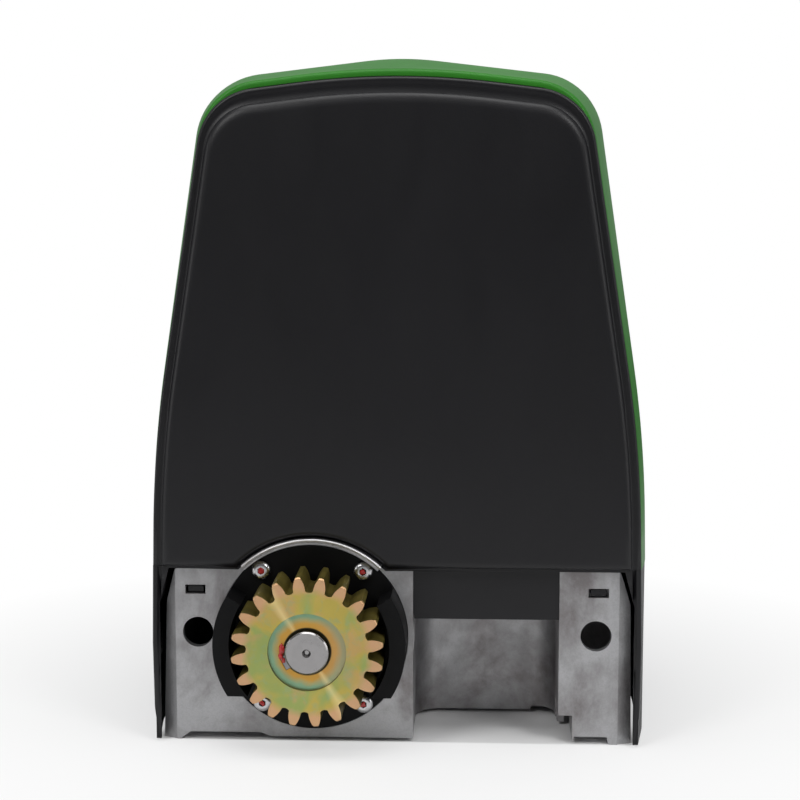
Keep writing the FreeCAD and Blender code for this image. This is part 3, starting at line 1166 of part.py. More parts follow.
# ----------------------------------------------------------------------- build
def build():
    save("gearbox_housing", gearbox_housing())
    save("gearcase_cover", gearcase_cover())
    screws = [pan_screw(x, PLATE_FRONT, z, 4.5, 3, 2, 14, 2) for x, z in cover_plate_screw_places()]
    save("gearcase_screws", Part.makeCompound([flipped(screw, PLATE_FRONT) for screw in screws]))
    save("pinion_guard", pinion_guard())
    heads = [pan_screw(x, GUARD_Y, z, 5.8, 4, 2, 22, 2.2) for x, z in guard_screw_places()]
    save("guard_screws", Part.makeCompound(heads))
    save("shaft_seal", tube_y(SEAL_R, SHAFT_R + RUN, SHAFT_X, SHAFT_Z, SEAL_Y, SEAL_Y + SEAL_W))
    save("rear_bearing", bearing_y(BEARING_R, SHAFT_R + RUN, REAR_BEARING_Y, BEARING_W))
    save("front_bearing", bearing_y(FRONT_BEARING_R, NOSE_R + RUN, FRONT_BEARING_Y, FRONT_BEARING_W))
    save("worm_lower_bearing", bearing_z(14, WORM_SHAFT_R + RUN, LOWER_BEARING_Z, 8))
    save("worm_upper_bearing", bearing_z(16, WORM_SHAFT_R + RUN, UPPER_BEARING_Z, 10))
    plug = cyl_z(6, *FILL_PLUG, DECK_Z - 12, DECK_Z).fuse(cyl_z(9, *FILL_PLUG, DECK_Z, DECK_Z + 5))
    save("oil_fill_plug", plug)
    save("output_shaft", output_shaft())
    save("drive_pinion", drive_pinion())
    y0, y1 = key_ends()
    save("pinion_key", key_block(0, y0, y1))
    save("worm_wheel", worm_wheel())
    bush_end = HUB_FRONT - DOG_DEPTH - 1
    save("wheel_bush", tube_y(WHEEL_BORE_R - 0.02, WHEEL_BORE_R - 2, SHAFT_X, SHAFT_Z, WHEEL_Y0, bush_end))
    save("clutch_sleeve", clutch_sleeve())
    save("clutch_cross_pin", clutch_cross_pin())
    save("release_rod", release_rod())
    save("release_thumbwheel", release_thumbwheel())
    save("worm_shaft", worm_shaft())
    save("armature_core", armature_core())
    save("armature_windings", armature_windings())
    save("commutator", commutator())
    save("encoder_disc", encoder_disc())
    save("motor_flange", motor_flange())
    save("motor_can", motor_can())
    save("motor_magnets", motor_magnets())
    save("motor_brushes", motor_brushes())
    save("motor_end_cap", motor_end_cap())
    save("encoder_board", encoder_board())
    save("chassis_tray", chassis_tray())
    reach = TRAY_Z + 1 - DECK_Z + 4
    screws = [downward_screw(x, y, TRAY_Z + 1, 3.4, 1.6, 2, reach) for x, y in tower_places()]
    save("chassis_screws", Part.makeCompound(screws))
    save("battery_left", battery(-1))
    save("battery_right", battery(1))
    save("controller_bracket", controller_bracket())
    save("board_standoffs", board_standoffs())
    save("control_board", control_board())
    save("lcd_module", lcd_module())
    save("terminal_blocks", terminal_blocks())
    save("relays", relays())
    save("charger_module", charger_module())
    for index, place in enumerate(button_places()):
        save("board_button_" + str(index + 1), board_button(place))
    save("rear_casing", rear_casing())
    save("front_casing", front_casing())
    screws = [downward_screw(x, y, DECK_Z + 3, 4.2, 2.5, 2, 6) for x, y in casing_screw_places()]
    save("casing_screws", Part.makeCompound(screws))
    save("top_cover", top_cover())
    save("release_hatch", release_hatch())
    save("hatch_hinge_pins", hatch_hinge_pins())
    save("camlock", camlock())
    save("camlock_cap", camlock_cap())
    save("cap_rivet", cap_rivet())


build()
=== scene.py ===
"""Looks of the sliding gate motor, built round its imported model.

The casing shells, screws, sealant and controller parts are modelled here with
bmesh, and every surface gets a procedural finish on Object coordinates.
The model's own frame is in metres, with +Z up and -Y towards the gate. Sizes
are in millimetres where a docstring says so.
"""

import logging
import math
from dataclasses import dataclass, field
from enum import Enum
from functools import cache
from typing import Sequence

import bmesh
import bpy
from mathutils import Matrix, Vector, noise


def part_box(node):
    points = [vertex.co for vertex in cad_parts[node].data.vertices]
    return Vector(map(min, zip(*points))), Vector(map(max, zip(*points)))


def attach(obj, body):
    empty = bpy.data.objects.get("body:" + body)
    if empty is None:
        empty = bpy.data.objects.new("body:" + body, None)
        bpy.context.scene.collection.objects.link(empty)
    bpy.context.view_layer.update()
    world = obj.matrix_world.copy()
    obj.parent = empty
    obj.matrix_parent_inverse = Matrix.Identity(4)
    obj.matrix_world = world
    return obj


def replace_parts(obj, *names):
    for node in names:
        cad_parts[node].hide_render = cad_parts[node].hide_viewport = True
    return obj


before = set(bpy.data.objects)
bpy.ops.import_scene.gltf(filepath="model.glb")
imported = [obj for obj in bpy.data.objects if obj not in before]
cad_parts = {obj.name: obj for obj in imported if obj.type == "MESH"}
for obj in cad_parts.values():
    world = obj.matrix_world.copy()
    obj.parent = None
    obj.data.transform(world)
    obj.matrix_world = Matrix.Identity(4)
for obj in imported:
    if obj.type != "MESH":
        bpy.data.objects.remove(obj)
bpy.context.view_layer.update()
LOG = logging.getLogger("gate_motor")
MM = 0.001
REARWARD, UP = Vector((0, 1, 0)), Vector((0, 0, 1))
WHITE = (1.0, 1.0, 1.0, 1.0)
Point = Sequence[float]
Pair = tuple[float, float]
Colour = tuple[float, float, float]
Socket = bpy.types.NodeSocket
Mesh = bmesh.types.BMesh


def middle_of(node: str) -> Vector:
    """Returns the centre of a CAD node's box."""
    low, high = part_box(node)
    return (low + high) / 2


def shade(colour: Colour, factor: float, lift: float = 0.0) -> Colour:
    """Returns a colour made paler or deeper, no brighter than white."""
    return tuple(min(1.0, c * factor + lift) for c in colour)


# ------------------------------------------------------------------ finishes
class Nodes:
    """Short calls that build a node tree."""

    def __init__(self, tree: bpy.types.NodeTree) -> None:
        """Keeps the tree that the calls build in."""
        self.tree = tree

    def add(self, kind: str, inputs: dict | None = None, **settings) -> bpy.types.ShaderNode:
        """Adds a node.

        Args:
            kind: The node's type name.
            inputs: A value or an output socket for each input, by name or number.
            **settings: Properties of the node itself.

        Returns:
            The new node.
        """
        node = self.tree.nodes.new(kind)
        for key, value in settings.items():
            setattr(node, key, value)
        for key, value in (inputs or {}).items():
            if isinstance(value, bpy.types.NodeSocket):
                self.tree.links.new(value, node.inputs[key])
            else:
                node.inputs[key].default_value = value
        return node

    def join(self, source: Socket, target: Socket) -> None:
        """Links an output to an input."""
        self.tree.links.new(source, target)


class Recipe(Nodes):
    """A material's node tree."""

    def __init__(self, name: str) -> None:
        """Starts from the principled shader and Object coordinates.

        Args:
            name: The material's name.
        """
        self.material = bpy.data.materials.new(name)
        self.material.use_nodes = True
        super().__init__(self.material.node_tree)
        self.shader = self.tree.nodes["Principled BSDF"]
        self.place = self.add("ShaderNodeTexCoord").outputs["Object"]

    def feed(self, name: str, source: Socket) -> None:
        """Links a socket to one of the shader's inputs."""
        self.join(source, self.shader.inputs[name])

    def fix(self, **values: object) -> None:
        """Sets constants on the shader; an underscore in a name stands for a space."""
        for key, value in values.items():
            self.shader.inputs[key.replace("_", " ")].default_value = value

    def stretched(self, scale: Point, centre: Point = (0, 0, 0), turn: Point = (0, 0, 0)) -> Socket:
        """Moves, turns and scales Object coordinates.

        Args:
            scale: Factor along each axis.
            centre: The point that becomes the origin.
            turn: Turn about each axis in radians.

        Returns:
            The new coordinates.
        """
        moved = self.add("ShaderNodeVectorMath", {0: self.place, 1: centre}, operation="SUBTRACT")
        inputs = {"Vector": moved.outputs["Vector"], "Rotation": turn, "Scale": scale}
        return self.add("ShaderNodeMapping", inputs).outputs["Vector"]

    def noise(self, scale: float, detail: float = 3.0, rough: float = 0.5,
              at: Socket | None = None, warp: float = 0.0) -> Socket:
        """Adds a noise texture.

        Args:
            scale: Features per metre.
            detail: Octaves.
            rough: Strength of the finer octaves.
            at: Coordinates, the object's own if left out.
            warp: Distortion.

        Returns:
            A value between 0 and 1.
        """
        inputs = {"Vector": at or self.place, "Scale": scale, "Detail": detail, "Roughness": rough}
        return self.add("ShaderNodeTexNoise", {**inputs, "Distortion": warp}).outputs["Fac"]

    def cells(self, scale: float, feature: str = "F1") -> Socket:
        """Returns the distance output of a Voronoi texture."""
        inputs = {"Vector": self.place, "Scale": scale}
        return self.add("ShaderNodeTexVoronoi", inputs, feature=feature).outputs["Distance"]

    def spread(self, source: Socket, low: float, high: float, start: float = 0.3, end: float = 0.7) -> Socket:
        """Maps a value from start..end onto low..high, clamped.

        Args:
            source: The value.
            low: Result at the start.
            high: Result at the end.
            start: Value at which the change begins.
            end: Value at which it is complete.

        Returns:
            The mapped value.
        """
        inputs = {"Value": source, "From Min": start, "From Max": end, "To Min": low, "To Max": high}
        return self.add("ShaderNodeMapRange", inputs).outputs["Result"]

    def blend(self, amount: Socket | float, first: object, second: object) -> Socket:
        """Mixes two colours.

        Args:
            amount: Share of the second.
            first: A colour or a socket.
            second: A colour or a socket.

        Returns:
            The mixed colour.
        """
        pair = [(*c, 1.0) if isinstance(c, tuple) else c for c in (first, second)]
        node = self.add("ShaderNodeMix", {0: amount, 6: pair[0], 7: pair[1]}, data_type="RGBA")
        return node.outputs[2]

    def math(self, operation: str, first: object, second: object = 0.0) -> Socket:
        """Returns the result of one Math node."""
        return self.add("ShaderNodeMath", {0: first, 1: second}, operation=operation).outputs[0]

    def length(self, vector: Socket) -> Socket:
        """Returns a vector's length."""
        return self.add("ShaderNodeVectorMath", {0: vector}, operation="LENGTH").outputs["Value"]

    def along(self, vector: Socket, axis: str) -> Socket:
        """Returns one component of a vector."""
        return self.add("ShaderNodeSeparateXYZ", {0: vector}).outputs[axis]

    def lathe_marks(self, radius: Socket, scale: float) -> Socket:
        """Returns noise that varies with the radius only."""
        return self.noise(scale, 2.0, 0.5, self.add("ShaderNodeCombineXYZ", {0: radius}).outputs[0])

    def bump(self, layers: Sequence[tuple[Socket, float, float]]) -> None:
        """Adds bump layers.

        Args:
            layers: For each, a height, a strength and a depth in metres.
        """
        normal = None
        for height, strength, depth in layers:
            inputs = {"Height": height, "Strength": strength, "Distance": depth}
            if normal is not None:
                inputs["Normal"] = normal
            normal = self.add("ShaderNodeBump", inputs).outputs["Normal"]
        self.feed("Normal", normal)


@dataclass(frozen=True)
class Look:
    """One kind of surface; each subclass fills in its own nodes.

    Attributes:
        name: The material's name.
    """

    name: str

    def cook(self, mix: Recipe) -> None:
        """Fills in the node tree."""
        raise NotImplementedError

    def make(self) -> bpy.types.Material:
        """Creates the material.

        Returns:
            The new material.
        """
        mix = Recipe(self.name)
        self.cook(mix)
        return mix.material


@dataclass(frozen=True)
class MouldedPlastic(Look):
    """Textured injection moulding with a fine spark-eroded grain.

    Attributes:
        colour: Body colour, linear.
        gloss: Roughness of the smoothest patches.
        grain: Depth of the grain in metres.
        pitch: Grains per metre.
        shine: Strength of the surface's reflection.
    """

    colour: Colour
    gloss: float = 0.42
    grain: float = 0.00006
    pitch: float = 1500.0
    shine: float = 0.5

    def cook(self, mix: Recipe) -> None:
        """Fills in the node tree.

        Args:
            mix: The material's recipe.
        """
        drift = mix.noise(14.0, 4.0, 0.55)
        speck = mix.noise(900.0, 2.0)
        pale = shade(self.colour, 1.12, 0.0006)
        deep = shade(self.colour, 0.92)
        body = mix.blend(mix.spread(drift, 0.0, 1.0), deep, pale)
        mix.feed("Base Color", mix.blend(mix.spread(speck, 0.0, 0.35, 0.45, 0.75), body, pale))
        smear = mix.noise(32.0, 5.0, 0.6, mix.stretched((1.0, 1.0, 0.35)), 0.6)
        mix.feed("Roughness", mix.spread(smear, self.gloss, self.gloss + 0.05, 0.3, 0.75))
        mix.fix(IOR=1.49, Specular_IOR_Level=self.shine)
        pits = mix.cells(self.pitch, "SMOOTH_F1")
        mix.bump([(pits, 0.35, self.grain), (mix.noise(self.pitch * 0.35, 2.0), 0.25, self.grain)])


@dataclass(frozen=True)
class CastAluminium(Look):
    """Die-cast skin: grey, blotched by flow marks and handling, with a fine sandy bump.

    Attributes:
        colour: Metal colour, linear.
        stain: Colour of the darker blotches.
        rough: Roughness of the cleanest patches.
    """

    colour: Colour = (0.50, 0.50, 0.51)
    stain: Colour = (0.20, 0.180, 0.180)
    rough: float = 0.42

    def cook(self, mix: Recipe) -> None:
        """Fills in the node tree.

        Args:
            mix: The material's recipe.
        """
        flow = mix.noise(16.0, 7.0, 0.68, mix.stretched((1.0, 1.0, 0.8)), 0.25)
        cloud = mix.noise(48.0, 5.0, 0.6)
        sand = mix.noise(1300.0, 3.0, 0.6)
        streak = mix.noise(90.0, 4.0, 0.55, mix.stretched((1.0, 1.0, 0.08), turn=(0.0, 0.12, 0.0)))
        base = mix.blend(mix.spread(flow, 0.0, 0.85, 0.45, 0.64), self.colour, self.stain)
        pale = shade(self.colour, 1.18)
        base = mix.blend(mix.spread(cloud, 0.0, 0.45, 0.48, 0.72), base, pale)
        base = mix.blend(mix.spread(streak, 0.0, 0.16, 0.55, 0.75), base, pale)
        dark = shade(self.colour, 0.62)
        mix.feed("Base Color", mix.blend(mix.spread(sand, 0.30, 0.0, 0.30, 0.55), base, dark))
        mix.fix(Metallic=0.92)
        mix.feed("Roughness", mix.spread(cloud, self.rough, self.rough + 0.2, 0.3, 0.75))
        ripple = mix.noise(170.0, 4.0, 0.55)
        mix.bump([(sand, 0.30, 0.00007), (ripple, 0.25, 0.00022), (flow, 0.15, 0.0006)])


@dataclass(frozen=True)
class PassivatedZinc(Look):
    """Yellow chromate over zinc on a turned gear, iridescent by the film's thickness.

    Attributes:
        axis_at: A point on the axis that the face was turned about.
        bore: Radius of the bore in metres.
        recess: Radius of the counterbore in metres.
        root: Radius in metres at which the teeth begin.
        painted_highlight_at: Direction of the painted highlight wedge, in degrees above +X.
    """

    axis_at: tuple[float, float, float]
    bore: float = 0.0125
    recess: float = 0.0225
    root: float = 0.0355
    painted_highlight_at: float = 122.0

    def face_colour(self, mix: Recipe, about: Socket, radius: Socket) -> Socket:
        """Colours the turned faces from bore to teeth, with a painted highlight and painted bore shade.

        Args:
            mix: The material's recipe.
            about: Coordinates about the gear's axis.
            radius: Distance from the axis.

        Returns:
            The colour.
        """
        gold, green, teal = (0.52, 0.41, 0.09), (0.29, 0.40, 0.13), (0.25, 0.42, 0.26)
        amber, rose, pink = (0.60, 0.33, 0.06), (0.68, 0.38, 0.22), (0.60, 0.35, 0.17)
        # The bright colour is a painted highlight; the dark colour is painted shade at the bore's edge.
        bright, dark = (1.0, 0.82, 0.40), (0.045, 0.040, 0.022)
        swirl = mix.noise(34.0, 2.0, 0.5, about, 1.2)
        patch = mix.noise(62.0, 3.0, 0.55, about, 0.6)
        fleck = mix.noise(150.0, 3.0, 0.6, about, 0.4)
        wander = mix.math("ADD", radius, mix.spread(patch, -0.0011, 0.0011, 0.3, 0.7))
        colour = mix.blend(mix.spread(swirl, 0.0, 0.80, 0.44, 0.60), gold, green)
        colour = mix.blend(mix.spread(patch, 0.0, 0.55, 0.50, 0.66), colour, pink)
        colour = mix.blend(mix.spread(fleck, 0.0, 0.35, 0.52, 0.68), colour, teal)
        inner = mix.blend(mix.spread(wander, 0.0, 1.0, 0.0165, 0.0205), amber, teal)
        inner = mix.blend(mix.spread(mix.along(about, "X"), 0.0, 0.45, 0.004, 0.018), inner, pink)
        in_recess = mix.spread(radius, 1.0, 0.0, self.recess - 0.0002, self.recess + 0.0002)
        on_teeth = mix.spread(wander, 0.0, 0.85, self.root - 0.0022, self.root + 0.0026)
        # Painted shade: the face is darkened in a ring just outside the bore, where its chamfer lies in
        # shade.
        bore_shade = mix.spread(radius, 1.0, 0.0, self.bore + 0.0012, self.bore + 0.0018)
        colour = mix.blend(on_teeth, mix.blend(in_recess, colour, inner), rose)
        # The highlight wedge is painted over the film colours, then the painted bore shade over all.
        return mix.blend(bore_shade, mix.blend(self.painted_highlight(mix, about), colour, bright), dark)

    def painted_highlight(self, mix: Recipe, about: Socket) -> Socket:
        """Paints a highlight as a bright wedge across the turned face.

        Args:
            mix: The material's recipe.
            about: Coordinates about the gear's axis.

        Returns:
            The painted highlight's strength.
        """
        way = mix.add("ShaderNodeVectorMath", {0: about}, operation="NORMALIZE").outputs["Vector"]
        turn = math.radians(self.painted_highlight_at)
        normal = (-math.sin(turn), 0.0, math.cos(turn))
        off = mix.add("ShaderNodeVectorMath", {0: way, 1: normal}, operation="DOT_PRODUCT").outputs["Value"]
        return mix.spread(mix.math("ABSOLUTE", off), 0.45, 0.0, 0.01, 0.13)

    def cook(self, mix: Recipe) -> None:
        """Fills in the node tree.

        Args:
            mix: The material's recipe.
        """
        about = mix.stretched((1.0, 0.0, 1.0), self.axis_at)
        radius = mix.length(about)
        facing = mix.add("ShaderNodeNewGeometry").outputs["Normal"]
        local = mix.add("ShaderNodeVectorTransform", {0: facing}, vector_type="NORMAL",
                        convert_from="WORLD", convert_to="OBJECT").outputs["Vector"]
        flat = mix.spread(mix.math("ABSOLUTE", mix.along(local, "Y")), 0.0, 1.0, 0.25, 0.8)
        film = mix.noise(60.0, 4.0, 0.6)
        # Painted shade: surfaces that face sideways, the tooth flanks, get an olive colour far darker than
        # the faces.
        shaded_flank = mix.blend(mix.spread(film, 0.0, 1.0, 0.35, 0.65), (0.13, 0.11, 0.028), (0.30, 0.24, 0.06))
        mix.feed("Base Color", mix.blend(flat, shaded_flank, self.face_colour(mix, about, radius)))
        scratch = mix.noise(240.0, 4.0, 0.65)
        mix.feed("Roughness", mix.spread(scratch, 0.30, 0.44, 0.3, 0.7))
        mix.fix(Metallic=0.62, Anisotropic=0.6)
        marks = mix.lathe_marks(radius, 2600.0)
        mix.bump([(marks, 0.22, 0.00003), (mix.noise(420.0, 3.0), 0.15, 0.00005)])
        tangent = mix.add("ShaderNodeVectorMath", {0: about, 1: (0.0, 1.0, 0.0)}, operation="CROSS_PRODUCT")
        world = mix.add("ShaderNodeVectorTransform", {0: tangent.outputs["Vector"]}, vector_type="VECTOR",
                        convert_from="OBJECT", convert_to="WORLD")
        mix.feed("Tangent", world.outputs["Vector"])


class Cut(Enum):
    """How a steel surface was finished."""

    TURNED = "turned"
    GROUND = "ground"
    ROLLED = "rolled"


@dataclass(frozen=True)
class Metal(Look):
    """Bare or plated metal with the marks of its making.

    Attributes:
        colour: Metal colour, linear.
        rough: Roughness of the cleanest patches.
        cut: Turned, ground or rolled.
        axis_at: A point on the axis of turning, for turned pieces.
    """

    colour: Colour
    rough: float = 0.25
    cut: Cut = Cut.GROUND
    axis_at: tuple[float, float, float] = (0.0, 0.0, 0.0)

    def cook(self, mix: Recipe) -> None:
        """Fills in the node tree.

        Args:
            mix: The material's recipe.
        """
        cloud = mix.noise(120.0, 4.0, 0.6)
        dark = shade(self.colour, 0.72)
        amount = 0.25 if self.cut is Cut.TURNED else 0.6
        mix.feed("Base Color", mix.blend(mix.spread(cloud, 0.0, amount), self.colour, dark))
        mix.fix(Metallic=1.0)
        if self.cut is Cut.TURNED:
            about = mix.stretched((1.0, 0.0, 1.0), self.axis_at)
            marks = mix.lathe_marks(mix.length(about), 3000.0)
        elif self.cut is Cut.ROLLED:
            marks = mix.noise(500.0, 3.0, 0.6, mix.stretched((1.0, 1.0, 0.05)))
        else:
            marks = mix.noise(900.0, 3.0, 0.6)
        mix.feed("Roughness", mix.spread(mix.noise(300.0, 3.0), self.rough, self.rough + 0.08, 0.3, 0.7))
        mix.bump([(marks, 0.20, 0.00002)])


@dataclass(frozen=True)
class Coated(Look):
    """Paint, resin or rubber: one body colour with faint mottling and orange peel.

    Attributes:
        colour: Body colour, linear.
        rough: Roughness of the smoothest patches.
        peel: Depth of the orange peel in metres.
        coat: Strength of a clear coat.
    """

    colour: Colour
    rough: float = 0.4
    peel: float = 0.00005
    coat: float = 0.0

    def cook(self, mix: Recipe) -> None:
        """Fills in the node tree.

        Args:
            mix: The material's recipe.
        """
        cloud = mix.noise(60.0, 4.0, 0.6)
        pale = shade(self.colour, 1.25, 0.001)
        deep = shade(self.colour, 0.75)
        mix.feed("Base Color", mix.blend(mix.spread(cloud, 0.0, 1.0), deep, pale))
        mix.feed("Roughness", mix.spread(mix.noise(220.0, 3.0), self.rough, self.rough + 0.15, 0.3, 0.7))
        mix.fix(Coat_Weight=self.coat, Coat_Roughness=0.12)
        mix.bump([(mix.noise(600.0, 2.0), 0.3, self.peel)])


@dataclass(frozen=True)
class CircuitBoard(Look):
    """Solder resist over copper tracks, with tinned pads."""

    def cook(self, mix: Recipe) -> None:
        """Fills in the node tree.

        Args:
            mix: The material's recipe.
        """
        grid = mix.add("ShaderNodeTexBrick", {
            "Vector": mix.place, "Scale": 120.0, "Mortar Size": 0.06, "Mortar Smooth": 0.1,
            "Color1": (0.0, 0.0, 0.0, 1.0), "Color2": (0.35, 0.35, 0.35, 1.0), "Mortar": WHITE,
        })
        tracks = grid.outputs["Color"]
        resist = mix.blend(tracks, (0.006, 0.070, 0.022), (0.018, 0.150, 0.045))
        dots = mix.spread(mix.cells(330.0), 1.0, 0.0, 0.12, 0.16)
        mix.feed("Base Color", mix.blend(mix.math("MULTIPLY", dots, 0.8), resist, (0.55, 0.52, 0.46)))
        mix.feed("Metallic", mix.math("MULTIPLY", dots, 0.9))
        mix.fix(Roughness=0.28, Coat_Weight=0.3)
        mix.bump([(tracks, 0.3, 0.00004)])


SHAFT = middle_of("drive_pinion")
AXIS_AT = (SHAFT.x, 0.0, SHAFT.z)


class Finish(Enum):
    """Every finish on the motor."""

    CASING = MouldedPlastic("casing_black", (0.0044, 0.0042, 0.0056), 0.40,
                            grain=0.00009, pitch=900.0, shine=0.42)
    HOOD = MouldedPlastic("hood_green", (0.024, 0.178, 0.013), 0.38,
                          grain=0.00003, pitch=1100.0, shine=0.24)
    CASTING = CastAluminium("cast_aluminium")
    MACHINED = CastAluminium("machined_aluminium", (0.58, 0.58, 0.59), (0.40, 0.39, 0.39), 0.30)
    ZINC_GEAR = PassivatedZinc("passivated_zinc", AXIS_AT)
    SHAFT_STEEL = Metal("turned_shaft_steel", (0.36, 0.35, 0.35), 0.20, Cut.TURNED, AXIS_AT)
    HARD_STEEL = Metal("hardened_steel", (0.30, 0.30, 0.31), 0.32)
    BEARING = Metal("bearing_steel", (0.62, 0.62, 0.63), 0.16)
    BOLT = Metal("bright_zinc_plate", (0.66, 0.66, 0.67), 0.20)
    SHEET = Metal("zinc_plated_sheet", (0.50, 0.51, 0.52), 0.30, Cut.ROLLED)
    BRONZE = Metal("gear_bronze", (0.55, 0.33, 0.12), 0.26, Cut.TURNED, AXIS_AT)
    COPPER = Metal("enamelled_copper", (0.55, 0.20, 0.08), 0.28)
    LAMINATION = Metal("lacquered_lamination", (0.17, 0.17, 0.18), 0.42, Cut.ROLLED)
    LOCK = Metal("plated_lock", (0.60, 0.60, 0.60), 0.18)
    GUARD = MouldedPlastic("guard_black", (0.0026, 0.0026, 0.0030), 0.46,
                           grain=0.00004, pitch=1300.0, shine=0.16)
    NYLON = MouldedPlastic("nylon_black", (0.0120, 0.0120, 0.0130), 0.38)
    BATTERY = MouldedPlastic("battery_case", (0.045, 0.046, 0.050), 0.40)
    SEAL = Coated("seal_rubber", (0.012, 0.012, 0.012), 0.6)
    MOTOR_PAINT = Coated("motor_black_paint", (0.013, 0.013, 0.015), 0.30, peel=0.00004, coat=0.35)
    FERRITE = Coated("ferrite", (0.045, 0.045, 0.050), 0.5)
    CARBON = Coated("carbon", (0.020, 0.020, 0.020), 0.45)
    BOARD = CircuitBoard("solder_resist")
    DISPLAY = Coated("display_glass", (0.045, 0.085, 0.030), 0.10, peel=0.00001, coat=0.8)
    TERMINAL = MouldedPlastic("terminal_green", (0.020, 0.180, 0.050), 0.36)
    RELAY = Coated("relay_blue", (0.012, 0.050, 0.210), 0.25, peel=0.00002, coat=0.3)
    BUTTON = Coated("button_grey", (0.42, 0.42, 0.40), 0.4)
    FINNED = Metal("finned_extrusion", (0.25, 0.25, 0.26), 0.38, Cut.ROLLED)
    SEALANT = Coated("thread_sealant_red", (0.50, 0.012, 0.010), 0.22, peel=0.0002, coat=0.5)
    CAN = Metal("capacitor_can", (0.62, 0.63, 0.65), 0.26, Cut.ROLLED)
    SLEEVE = Coated("capacitor_sleeve", (0.010, 0.012, 0.035), 0.25, peel=0.00001, coat=0.3)
    EPOXY = Coated("chip_epoxy", (0.014, 0.014, 0.015), 0.42)
    LEADS = Metal("tinned_leads", (0.62, 0.62, 0.60), 0.28)
    BEZEL = MouldedPlastic("bezel_black", (0.010, 0.010, 0.011), 0.34)
    LENS = Coated("lens_clear_red", (0.45, 0.02, 0.015), 0.08, peel=0.000005, coat=0.9)
    CREAM = Coated("nylon_cream", (0.62, 0.58, 0.46), 0.38)


@cache
def finish_of(finish: Finish) -> bpy.types.Material:
    """Returns the one material of a finish, made at first use."""
    return finish.value.make()


def paint(obj: bpy.types.Object, finish: Finish) -> bpy.types.Object:
    """Gives an object one finish all over.

    Args:
        obj: A new piece or a CAD node's object.
        finish: The finish.

    Returns:
        The same object.
    """
    obj.data.materials.clear()
    obj.data.materials.append(finish_of(finish))
    for face in obj.data.polygons:
        face.material_index = 0
    return obj


# ------------------------------------------------------------- carried nodes
@dataclass(frozen=True)
class Dressing:
    """CAD nodes that are dressed alike.

    Attributes:
        finish: Their finish.
        edge: Width of their eased edges in metres, or 0 for none.
        nodes: Their names.
    """

    finish: Finish
    edge: float
    nodes: str


CARRIED = (
    Dressing(Finish.CASTING, 0.0005, "gearbox_housing"),
    Dressing(Finish.CASTING, 0.0004, "gearcase_cover motor_flange"),
    Dressing(Finish.BOLT, 0.0, "gearcase_screws release_rod chassis_screws casing_screws hatch_hinge_pins"),
    Dressing(Finish.BOLT, 0.0004, "oil_fill_plug"),
    Dressing(Finish.GUARD, 0.0004, "pinion_guard"),
    Dressing(Finish.SEAL, 0.0, "shaft_seal"),
    Dressing(Finish.BEARING, 0.0, "rear_bearing front_bearing worm_lower_bearing worm_upper_bearing"),
    Dressing(Finish.SHAFT_STEEL, 0.0, "output_shaft"),
    Dressing(Finish.ZINC_GEAR, 0.0003, "drive_pinion"),
    Dressing(Finish.HARD_STEEL, 0.0003, "pinion_key"),
    Dressing(Finish.HARD_STEEL, 0.0, "clutch_sleeve clutch_cross_pin worm_shaft"),
    Dressing(Finish.BRONZE, 0.0, "worm_wheel wheel_bush"),
    Dressing(Finish.NYLON, 0.0005, "release_thumbwheel"),
    Dressing(Finish.NYLON, 0.0004, "motor_end_cap chassis_tray"),
    Dressing(Finish.NYLON, 0.0003, "camlock_cap"),
    Dressing(Finish.NYLON, 0.0, "encoder_disc"),
    Dressing(Finish.LAMINATION, 0.0, "armature_core"),
    Dressing(Finish.COPPER, 0.0, "armature_windings commutator"),
    Dressing(Finish.MOTOR_PAINT, 0.0004, "motor_can"),
    Dressing(Finish.FERRITE, 0.0, "motor_magnets"),
    Dressing(Finish.CARBON, 0.0, "motor_brushes"),
    Dressing(Finish.BOARD, 0.0, "encoder_board control_board"),
    Dressing(Finish.BATTERY, 0.0008, "battery_left battery_right"),
    Dressing(Finish.SHEET, 0.0003, "controller_bracket"),
    Dressing(Finish.BUTTON, 0.0, "board_standoffs"),
    Dressing(Finish.BUTTON, 0.0, "board_button_1 board_button_2 board_button_3 board_button_4"),
    Dressing(Finish.DISPLAY, 0.0003, "lcd_module"),
    Dressing(Finish.TERMINAL, 0.0003, "terminal_blocks"),
    Dressing(Finish.RELAY, 0.0003, "relays"),
    Dressing(Finish.FINNED, 0.0003, "charger_module"),
    Dressing(Finish.CASING, 0.0003, "front_casing"),
    Dressing(Finish.CASING, 0.0004, "release_hatch"),
    Dressing(Finish.LOCK, 0.0, "camlock cap_rivet"),
)
WELD_GAP, IN_PLANE = 0.000002, 0.0000001
FLAT_ANGLE, EASE_ANGLE, CRISP_ANGLE = math.radians(0.6), math.radians(32), math.radians(40)


def smooth_node(obj: bpy.types.Object, edge: float) -> None:
    """Joins a node's loose triangles and eases its edges, with modifiers only.

    Args:
        obj: The CAD node's object.
        edge: Width of the eased edges in metres, or 0 for none.
    """
    obj.data.shade_smooth()
    weld = obj.modifiers.new("join", "WELD")
    weld.merge_threshold = WELD_GAP
    flat = obj.modifiers.new("flats", "DECIMATE")
    flat.decimate_type = "DISSOLVE"
    flat.angle_limit = FLAT_ANGLE
    if edge:
        ease = obj.modifiers.new("eased_edges", "BEVEL")
        ease.width = edge
        ease.segments = 2
        ease.limit_method = "ANGLE"
        ease.angle_limit = EASE_ANGLE
    split = obj.modifiers.new("crisp", "EDGE_SPLIT")
    split.split_angle = CRISP_ANGLE
    tidy = obj.modifiers.new("even_shade", "WEIGHTED_NORMAL")
    tidy.keep_sharp = True


def dress_carried() -> None:
    """Paints and eases every CAD node."""
    for look in CARRIED:
        for name in look.nodes.split():
            smooth_node(paint(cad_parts[name], look.finish), look.edge)
            LOG.info("dressed %s with %s", name, look.finish.name)


# --------------------------------------------------------------- mesh helpers
CORNER_STEPS = 14


